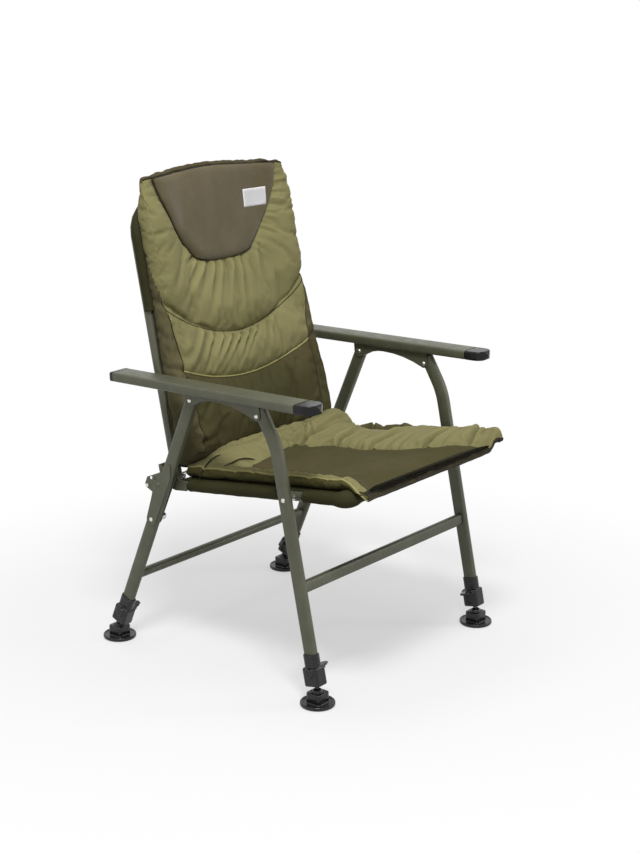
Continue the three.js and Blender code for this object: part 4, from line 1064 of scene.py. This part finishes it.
def back_pick(tag):
    """The material of each face: light, dark, brown or the top's."""
    kind, i, j = tag
    if kind == "top":
        if j >= seam_rows[1]:
            return 0
        if seam_cols[0] <= i < seam_cols[1]:
            return 1 if j < seam_rows[0] else 0
        return 1 if i >= seam_cols[1] and j < seam_rows[0] + 3 else 2
    if kind in ("rear", "front"):
        return 3 if kind == "rear" else 2
    level, u = (j + 0.5) / back.walls, back.E[i, 1]
    if u > SIDE_LIGHT + (NEAR_RISE if kind == "right" else FAR_RISE) * level:
        return 0
    return 2 if kind == "right" or u > SIDE_DARK else 1


back_pad = back.build("back_cushion", [LIGHT, DARK, BROWN, TOP], back_pick)
low_row, high_row = (back.row(r, 0, back.cols + 1) for r in seam_rows)
strip_lines = [back.column(c, 0, seam_rows[1] + 1) for c in seam_cols]
loose = back.free()
loose[low_row + high_row + strip_lines[0] + strip_lines[1]] = 0.0
under_head = inside_head(back.points[:, 0], back.points[:, 1], 5)
loose *= 1 - under_head * (np.arange(len(loose)) < back.top_count)
inflate(back_pad, loose, pressure=8.0, cap=13.0, shrink=-0.04)
subdivide(back_pad)

back_folds = Folds(5)
between = back_folds.between
DOWN, UP = -math.pi / 2, math.pi / 2


def hang(places, start, shift, leans, spread, length, width, height, weak_from, weak, lead):
    """Gathers that hang side by side from a line, ridge and valley in turn.

    They lean to the near side as leans says, and are weak from a place on.
    """
    sign = 1
    for x in places:
        x = float(x) + between(-3, 3)
        sign = -sign
        share = 1.0 if x < weak_from else weak
        lean = float(np.interp(x, *leans))
        back_folds.add_about(x, float(start(x)) + shift, DOWN - lean, spread, length, width, height,
                             sign * share, lead)


# gathers from the head cushion, which lean less towards the far side
hang(np.linspace(-84, 112, 15), head_floor, -4,
     leans=((-90, -60, -10, 50, 100), (0.95, 0.72, 0.46, 0.32, 0.12)),
     spread=0.07, length=(75, 130), width=(6.0, 8.0), height=(4.8, 7.2), weak_from=60, weak=0.6, lead=6)
for ang in (3.30, 3.48, 3.68, 3.9):
    back_folds.add(-96, 456, ang, between(44, 62), 6.0, -between(3.0, 4.6))
    back_folds.add(-98, 450, ang + 0.1, between(44, 62), 7.0, between(2.0, 3.4))
# above the upper seam, short upright ones
for x0 in np.linspace(-130, 90, 13):
    x0 = float(x0) + between(-5, 5)
    back_folds.add_about(x0, float(seam_high(x0)) + 8, UP + 0.25, 0.2, (30, 62), (5, 7), (1.6, 3.0))
# pleats that fan out from the head cushion's sides, and from the far edge
for t in np.linspace(0.0, 0.96, 15):
    t = float(t)
    u0 = mix(HEAD_SIDE_LOW, BACK_HIGH, t)
    x0 = float(head_half(u0)) + 3
    back_folds.add_about(x0, u0, -0.8 + 1.15 * t, 0.15, (26, 46), (4.0, 5.6), (2.6, 4.6))
    back_folds.add_about(-x0, u0, math.pi + 0.75 - 0.95 * t, 0.15, (18, 34), (5, 7), (0.4, 1.0))
for u0 in (618, 604, 590, 574, 556, 534, 512, 486, 462):
    back_folds.add_about(234, u0 + between(-4, 4), math.pi, 0.4, (26, 44), (4.5, 6.5), (3.0, 5.4), -1)
# between the seams the gathers run aslant, from the upper seam down to the near side
hang(np.linspace(-136, 104, 18), seam_high, -8,
     leans=((-140, -60, 0, 60, 110), (0.72, 0.82, 0.92, 0.8, 0.3)),
     spread=0.06, length=(70, 105), width=(5.4, 7.2), height=(5.2, 7.8), weak_from=70, weak=0.5, lead=7)
for x0 in (-178, -150, -120, -84, -40, 10, 60, 104, 148):
    start = float(seam_low(x0)) + 4
    back_folds.add_about(x0 + between(-6, 6), start, UP - 0.5, 0.2, (24, 46), (5, 7), (1.6, 3.0))
# loose brown sides and the lower panel
for sizes in (
    (-218, 340, -1.9, 60, 8, 4), (-224, 300, -1.2, 60, 7, -4), (-214, 250, -1.9, 80, 9, 5),
    (-206, 210, -1.3, 80, 8, -5), (-190, 176, -2.2, 100, 11, 5), (-160, 150, -2.4, 110, 10, -5),
    (-100, 120, -2.7, 110, 10, 3.5), (-60, 150, -2.5, 130, 11, -3), (30, 150, -2.3, 110, 13, 2),
    (150, 190, -2.0, 130, 11, -3), (205, 300, -1.5, 90, 9, -4), (-222, 96, -0.4, 90, 9, 5),
    (-212, 70, 0.1, 80, 8, -5), (206, 222, -1.45, 130, 7, -7), (190, 110, -2.2, 80, 10, 4),
    (-60, 90, 0.3, 120, 12, -2),
):
    back_folds.add(*sizes)


def finish_back():
    p = BACK.local(read_points(back_pad))
    X, U, H = p[:, 0].copy(), p[:, 1].copy(), p[:, 2].copy()
    top = ease(H, BACK_BASE + 6, BACK_BASE + 13)
    inside = inside_head(X, U, 6)
    H = H + back_folds.height(X, U) * top * (1 - inside)
    seams = crease_at(U - seam_high(X), 4.5) * 3.5 + crease_at(U - seam_low(X), 4.5) * 3.0
    H = H - np.clip(seams, 0, 4) * top
    strips = crease_at(np.abs(X) - strip_edge(U), 4.5) * ease(-U, -388, -366)
    H = H - 2.6 * strips * top
    # the panel sinks in round the head cushion
    ring = np.abs(head_half(U) - np.abs(X)) + 60 * (U < 452)
    ring = np.minimum(ring, np.abs(U - head_floor(X)) + 60 * (np.abs(X) > 98))
    H = H - 4.5 * crease_at(ring, 6.0) * top
    H = H + top * (1 - 0.8 * inside) * (1.5 * wave(X, U, 60, 21) + 0.6 * wave(X, U, 22, 22))
    U = U + ease(U, 612, 640) * (2.4 * wave(X, X * 0, 30, 23) + 1.5 * wave(X, H, 13, 25))
    edge = ease(np.abs(X), 205, 236)
    ripple = 2.2 * wave(U, U * 0 + np.sign(X), 38, 24) + 1.6 * wave(U, H * 0.6, 17, 26)
    X = X + edge * np.sign(X) * ripple
    write_points(back_pad, BACK.world(np.column_stack([X, U, H])))


finish_back()
trim_pad(back, [
    tube_piece("low_seam", back.line(low_row[seam_cols[0]:seam_cols[1] + 1], 1.6), 0.0017, PIPING),
    # the thin dark cord along the upper seam is painted shadow of its crease
    tube_piece("high_seam_shadow", back.line(high_row, 0.2), 0.0010, EDGING),
    tube_piece("top_cord", back.edge_line(turns[2] + 4, turns[3] - 4, 0.4), 0.0022, EDGING),
    tube_piece("base_cord", back.around(0.8), 0.0019, EDGING, closed=True),
    tube_piece("lower_cord", back.edge_line(turns[0] + 2, turns[1] - 2, 0.0), 0.0018, EDGING),
# the thin dark cords along the strip seams are painted shadow of their edges
] + [tube_piece("strip_seam_shadow", back.line(places[2:-1], 0.2), 0.0012, EDGING) for places in strip_lines])
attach(back_pad, "back")
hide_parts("back_pad")

# ---------------------------------------------------------------- head cushion and its blank patch
HEAD_THICK = 11.0
HEAD_FOOT, HEAD_CROWN = 96, 190  # half-widths at its lower edge and along its top
PATCH_LONG, PATCH_HIGH = 68, 40


def head_top_at(x):
    return top_edge(x) - 3.0


def head_surface(x, u):
    """Height of the head cushion's front: full in the middle, rolled in at its seam."""
    def round_in(distance, reach):
        share = np.clip(distance / reach, 0, 1)
        return share, np.sqrt(1 - (1 - share) ** 2)
    side, side_roll = round_in(head_half(u) - np.abs(x), 26)
    low, low_roll = round_in(u - head_floor(x), 24)
    top_roll = round_in(head_top_at(x) - u, 18)[1]
    roll = side_roll * low_roll * (0.35 + 0.65 * top_roll)
    soft = wave(x, u, 70, 31) * 1.3 + wave(x, u, 24, 32) * 0.45
    return back_front(x, u) + 1.0 + HEAD_THICK * roll + soft * side * low


def rim_of(grid):
    """The outer places of a grid, once around."""
    return np.concatenate([grid[0], grid[1:, -1], grid[-1, ::-1][1:], grid[::-1, 0][1:-1]])


def shell(name, plane, X, U, top, bottom, material):
    """A closed piece between two grids of heights."""
    n, m = X.shape
    half = n * m
    verts = np.vstack([np.column_stack([X.ravel(), U.ravel(), h.ravel()]) for h in (top, bottom)])
    faces = []
    for j in range(n - 1):
        for i in range(m - 1):
            a = j * m + i
            faces.append((a, a + 1, a + m + 1, a + m))
            faces.append((half + a, half + a + m, half + a + m + 1, half + a + 1))
    ring = rim_of(np.arange(half).reshape(n, m)).tolist()
    for a, b in zip(ring, ring[1:] + ring[:1]):
        faces.append((a, a + half, b + half, b))
    return make_object(name, plane.world(verts), faces, [material])


a = np.sin(np.linspace(-1, 1, 93) * math.pi / 2)
b = (1 - np.cos(np.linspace(0, 1, 61) * math.pi)) / 2
a, b = np.meshgrid(a, b)
U = mix(head_floor(a * HEAD_FOOT), head_top_at(a * HEAD_CROWN), b)
X = a * head_half(U)
top = head_surface(X, U)
head_obj = shell("head_cushion_cover", BACK, X, U, top, back_front(X, U) - 4.0, FLEECE)
rim = BACK.world(np.column_stack([rim_of(X), rim_of(U), rim_of(top) - 0.2]))
# the near-black cord round the head cushion's rim is painted shadow at its rolled edge
join_into(head_obj, [tube_piece("head_rim_shadow", rim, 0.0015, EDGING, closed=True)])
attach(head_obj, "back")
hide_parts("head_cushion")

i, j = np.meshgrid(np.linspace(0, 1, 21), np.linspace(0, 1, 13))
PX = 78 + PATCH_LONG * i + 1.5 * j
PU = 541 + PATCH_HIGH * j - 1.5 * i
edge = np.minimum(np.minimum(i, 1 - i) * PATCH_LONG, np.minimum(j, 1 - j) * PATCH_HIGH)
over = ease(edge, -0.5, 1.6) + 0.2 + 0.35 * bell(edge - 2.6, 0.9)
front = head_surface(PX, PU)
patch = shell("head_patch", BACK, PX, PU, front + over, front - 0.6, PATCH)
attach(patch, "back")

# ---------------------------------------------------------------- slings: cloth with a sleeve round each tube
SLEEVE_SIDES = 28
HEM = 12
WEB_THICK, WEB_SAG = 1.5, 3.0


def bow_path(half, end, reach, radius, step=4.0):
    """Places of one bent tube: two straight sides and a cross part with round corners, as in the part."""
    direction = 1 if reach > end else -1
    straight = abs(reach - end) - radius
    corner = [k / 12 * math.pi / 2 for k in range(13)]
    pts = [(-half, end + direction * t) for t in np.arange(0, straight, step)]
    for side, start in ((-1, math.pi), (1, math.pi / 2)):
        for angle in corner:
            turn = start - angle
            x = side * (half - radius) + radius * math.cos(turn)
            pts.append((x, reach - direction * radius * (1 - math.sin(turn))))
        if side < 0:
            pts += [(x, reach) for x in np.arange(radius - half + step, half - radius, step)]
    pts += [(half, end + direction * t) for t in np.arange(straight, -0.01, -step)]
    return np.array(pts)


def sleeve_piece(name, plane, path, inner, outer, seed, fuller):
    """A loose sleeve on a tube: rounded outside with creases, hemmed ends, and a bore for the tube."""
    sides, n = SLEEVE_SIDES, len(path)
    length = np.concatenate([[0], np.cumsum(np.linalg.norm(np.diff(path, axis=0), axis=1))])
    verts = []
    for layer in ("outside", "bore"):
        for k in range(n):
            a, b = path[max(k - 1, 0)], path[min(k + 1, n - 1)]
            t = (b - a) / np.linalg.norm(b - a)
            side = np.array([t[1], -t[0]])
            hem = min(length[k], length[-1] - length[k])
            spare = fuller * (abs(t[0] * t[1]) * 2)
            for s in range(sides):
                ang = 2 * math.pi * s / sides
                r = (outer if layer == "outside" else inner) + spare
                if layer == "outside":
                    r += 0.5 * noise.noise(Vector((length[k] / 16, s / sides * 9, seed)))
                    r += 0.9 * noise.noise(Vector((length[k] / 55, s / sides * 4, seed + 3)))
                    r += 0.5 * math.exp(-(hem / 4.0) ** 2)
                    r -= 0.6 * math.exp(-((hem - HEM) / 1.6) ** 2)
                place = path[k] + side * (r * math.cos(ang))
                verts.append((place[0], place[1], r * math.sin(ang)))
    faces = []
    half = n * sides
    for k in range(n - 1):
        for s in range(sides):
            a, b = k * sides + s, k * sides + (s + 1) % sides
            faces.append((a, b, b + sides, a + sides))
            faces.append((half + a, half + a + sides, half + b + sides, half + b))
    for k in (0, n - 1):
        for s in range(sides):
            a, b = k * sides + s, k * sides + (s + 1) % sides
            face = (a, half + a, half + b, b)
            faces.append(face if k == 0 else face[::-1])
    obj = make_object(name, plane.world(np.array(verts)), faces, [SLEEVE])
    face_out(obj)
    return obj


def web_piece(name, plane, half, low, high, height, seed, taper):
    """The taut cloth between the sleeves, drawn in at its lower end by the taper."""
    x, u = np.meshgrid(np.linspace(-half, half, 70), np.linspace(low, high, 70))
    a, b = x / half, (u - low) / (high - low) * 2 - 1
    slack = 0.5 * wave(x * 0.5, u, 26, seed) * (1 - a ** 8)
    H = height - WEB_SAG * (1 - a ** 2) * (1 - 0.6 * b ** 2) + slack
    drawn = 1 - taper * np.clip(-b - 0.75, 0, 1) ** 2
    return shell(name, plane, x * drawn, u, H, H - WEB_THICK, SLEEVE)


def sling(name, first, *others):
    join_into(first, list(others))
    first.name = name
    return first


seat_path = bow_path(half=249.0, end=292.0, reach=-134.0, radius=34.0)
back_path = bow_path(half=227.0, end=362.0, reach=583.0, radius=62.0)
# the seat's sleeve leaves the rails bare at the front legs' rivets
RIVET_GAP = (-20, 14)
covered = (seat_path[:, 1] < RIVET_GAP[0]) | (seat_path[:, 1] > RIVET_GAP[1])
runs = np.split(seat_path, np.flatnonzero(np.diff(covered)) + 1)[::2]
sleeves = [sleeve_piece("sleeve%d" % k, SEAT, run, inner=10.7, outer=12.4, seed=60 + 7 * k, fuller=6.0)
           for k, run in enumerate(runs)]
seat_web = web_piece("seat_web", SEAT, 250.0, -112.0, 317.0, height=12.3, seed=41, taper=0.4)
seat_sling = sling("seat_sling_cloth", *sleeves, seat_web)
back_sling = sling(
    "back_sling_cloth",
    sleeve_piece("sleeve", BACK, back_path, inner=11.2, outer=12.9, seed=90, fuller=0.0),
    web_piece("back_web", BACK, 223.0, 66.0, 552.0, height=12.8, seed=51, taper=0.0),
)
for obj, body, node in ((seat_sling, "seat", "seat_sling"), (back_sling, "back", "back_sling")):
    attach(obj, body)
    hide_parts(node)

# ---------------------------------------------------------------- anchors on the seat and back, and a mesh of its own for each pad
seat_anchor = tuple(float(c) for c in SEAT.world(np.array([[0, 100, SEAT_BASE]]))[0])
back_anchor = tuple(float(c) for c in BACK.world(np.array([[0, 300, BACK_BASE]]))[0])
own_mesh(seat_pad)
for piece in (back_pad, head_obj, patch):
    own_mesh(piece)

# ---------------------------------------------------------------- stage, lights and camera
FLOOR_HALF, FLOOR_DROP = 70.0, 0.0005
# the floor and the world look pale in the picture and in reflections, and light the object less
FLOOR_DIM, FLOOR_PALE = 0.42, 0.93
WORLD_DIM, WORLD_SHOWN = 0.34, 0.66


def shown(tree):
    """1 for rays from the camera and for glossy rays, 0 for the rest."""
    rays = tree.nodes.new("ShaderNodeLightPath").outputs
    return math_node(tree, "MAXIMUM", rays["Is Camera Ray"], rays["Is Glossy Ray"])


floor_mesh = bpy.data.meshes.new("floor")
corners = [(x * FLOOR_HALF, y * FLOOR_HALF, 0) for x, y in ((-1, -1), (1, -1), (1, 1), (-1, 1))]
floor_mesh.from_pydata(corners, [], [(0, 1, 2, 3)])
floor = add_object("floor", floor_mesh)
floor.location.z = -FLOOR_DROP
m, tree, shader, where = new_material("studio_floor")
visible = shown(tree)
fill(tree, shader.inputs, {
    "Base Color": mix_color(tree, grey(FLOOR_DIM), grey(FLOOR_PALE), visible),
    "Roughness": 0.9,
    "Specular IOR Level": 0.1,
})
# the paper's own light takes over away from the object
paper = tree.nodes.new("ShaderNodeEmission")
fill(tree, paper.inputs, {"Color": grey(1.0), "Strength": 1.0})
distance = tree.nodes.new("ShaderNodeVectorMath")
distance.operation = "LENGTH"
tree.links.new(where, distance.inputs[0])
far_out = tree.nodes.new("ShaderNodeMapRange")
far_out.interpolation_type = "SMOOTHSTEP"
fill(tree, far_out.inputs, {"Value": distance.outputs["Value"], "From Min": 0.45, "From Max": 1.25,
                            "To Min": 0.5, "To Max": 1.0})
blend = tree.nodes.new("ShaderNodeMixShader")
fill(tree, blend.inputs, {
    "Fac": math_node(tree, "MULTIPLY", far_out.outputs["Result"], visible),
    1: shader.outputs["BSDF"],
    2: paper.outputs["Emission"],
})
output = [n for n in tree.nodes if n.type == "OUTPUT_MATERIAL"][0]
tree.links.new(blend.outputs["Shader"], output.inputs["Surface"])
floor_mesh.materials.append(m)

world = bpy.data.worlds.new("studio")
bpy.context.scene.world = world
world.use_nodes = True
tree = world.node_tree
level = math_node(tree, "MULTIPLY_ADD", shown(tree), WORLD_SHOWN, WORLD_DIM)
fill(tree, tree.nodes["Background"].inputs, {"Color": grey(1.0), "Strength": level})


def area_light(name, place, aim, size, power):
    data = bpy.data.lights.new(name, "AREA")
    data.shape = "RECTANGLE"
    data.size, data.size_y = size
    data.energy = power
    obj = add_object(name, data)
    obj.location = place
    obj.rotation_euler = (Vector((0, 0, aim)) - Vector(place)).to_track_quat("-Z", "Y").to_euler()


area_light("key", (-1.5, -1.3, 3.7), 0.5, (0.9, 0.9), 101.0)
area_light("top", (0.3, 0.6, 3.6), 0.4, (1.4, 1.4), 10.0)
area_light("side", (2.4, -2.6, 1.7), 0.5, (0.7, 1.8), 17.0)

cam_data = bpy.data.cameras.new("camera")
camera = bpy.context.scene.camera = add_object("camera", cam_data)
cam_data.lens = 74.78
cam_data.sensor_width = 36.0
cam_data.sensor_fit = "AUTO"
cam_data.clip_end = 300.0
azimuth, elevation = math.radians(-50.82), math.radians(15.89)
away = Vector((math.sin(azimuth) * math.cos(elevation), -math.cos(azimuth) * math.cos(elevation),
               math.sin(elevation)))
camera.location = Vector((-2843.0, -2092.6 + SHIFT_Y, 1528.4)) * MM
camera.rotation_euler = (-away).to_track_quat("-Z", "Y").to_euler()
bpy.context.scene.view_settings.view_transform = "Standard"
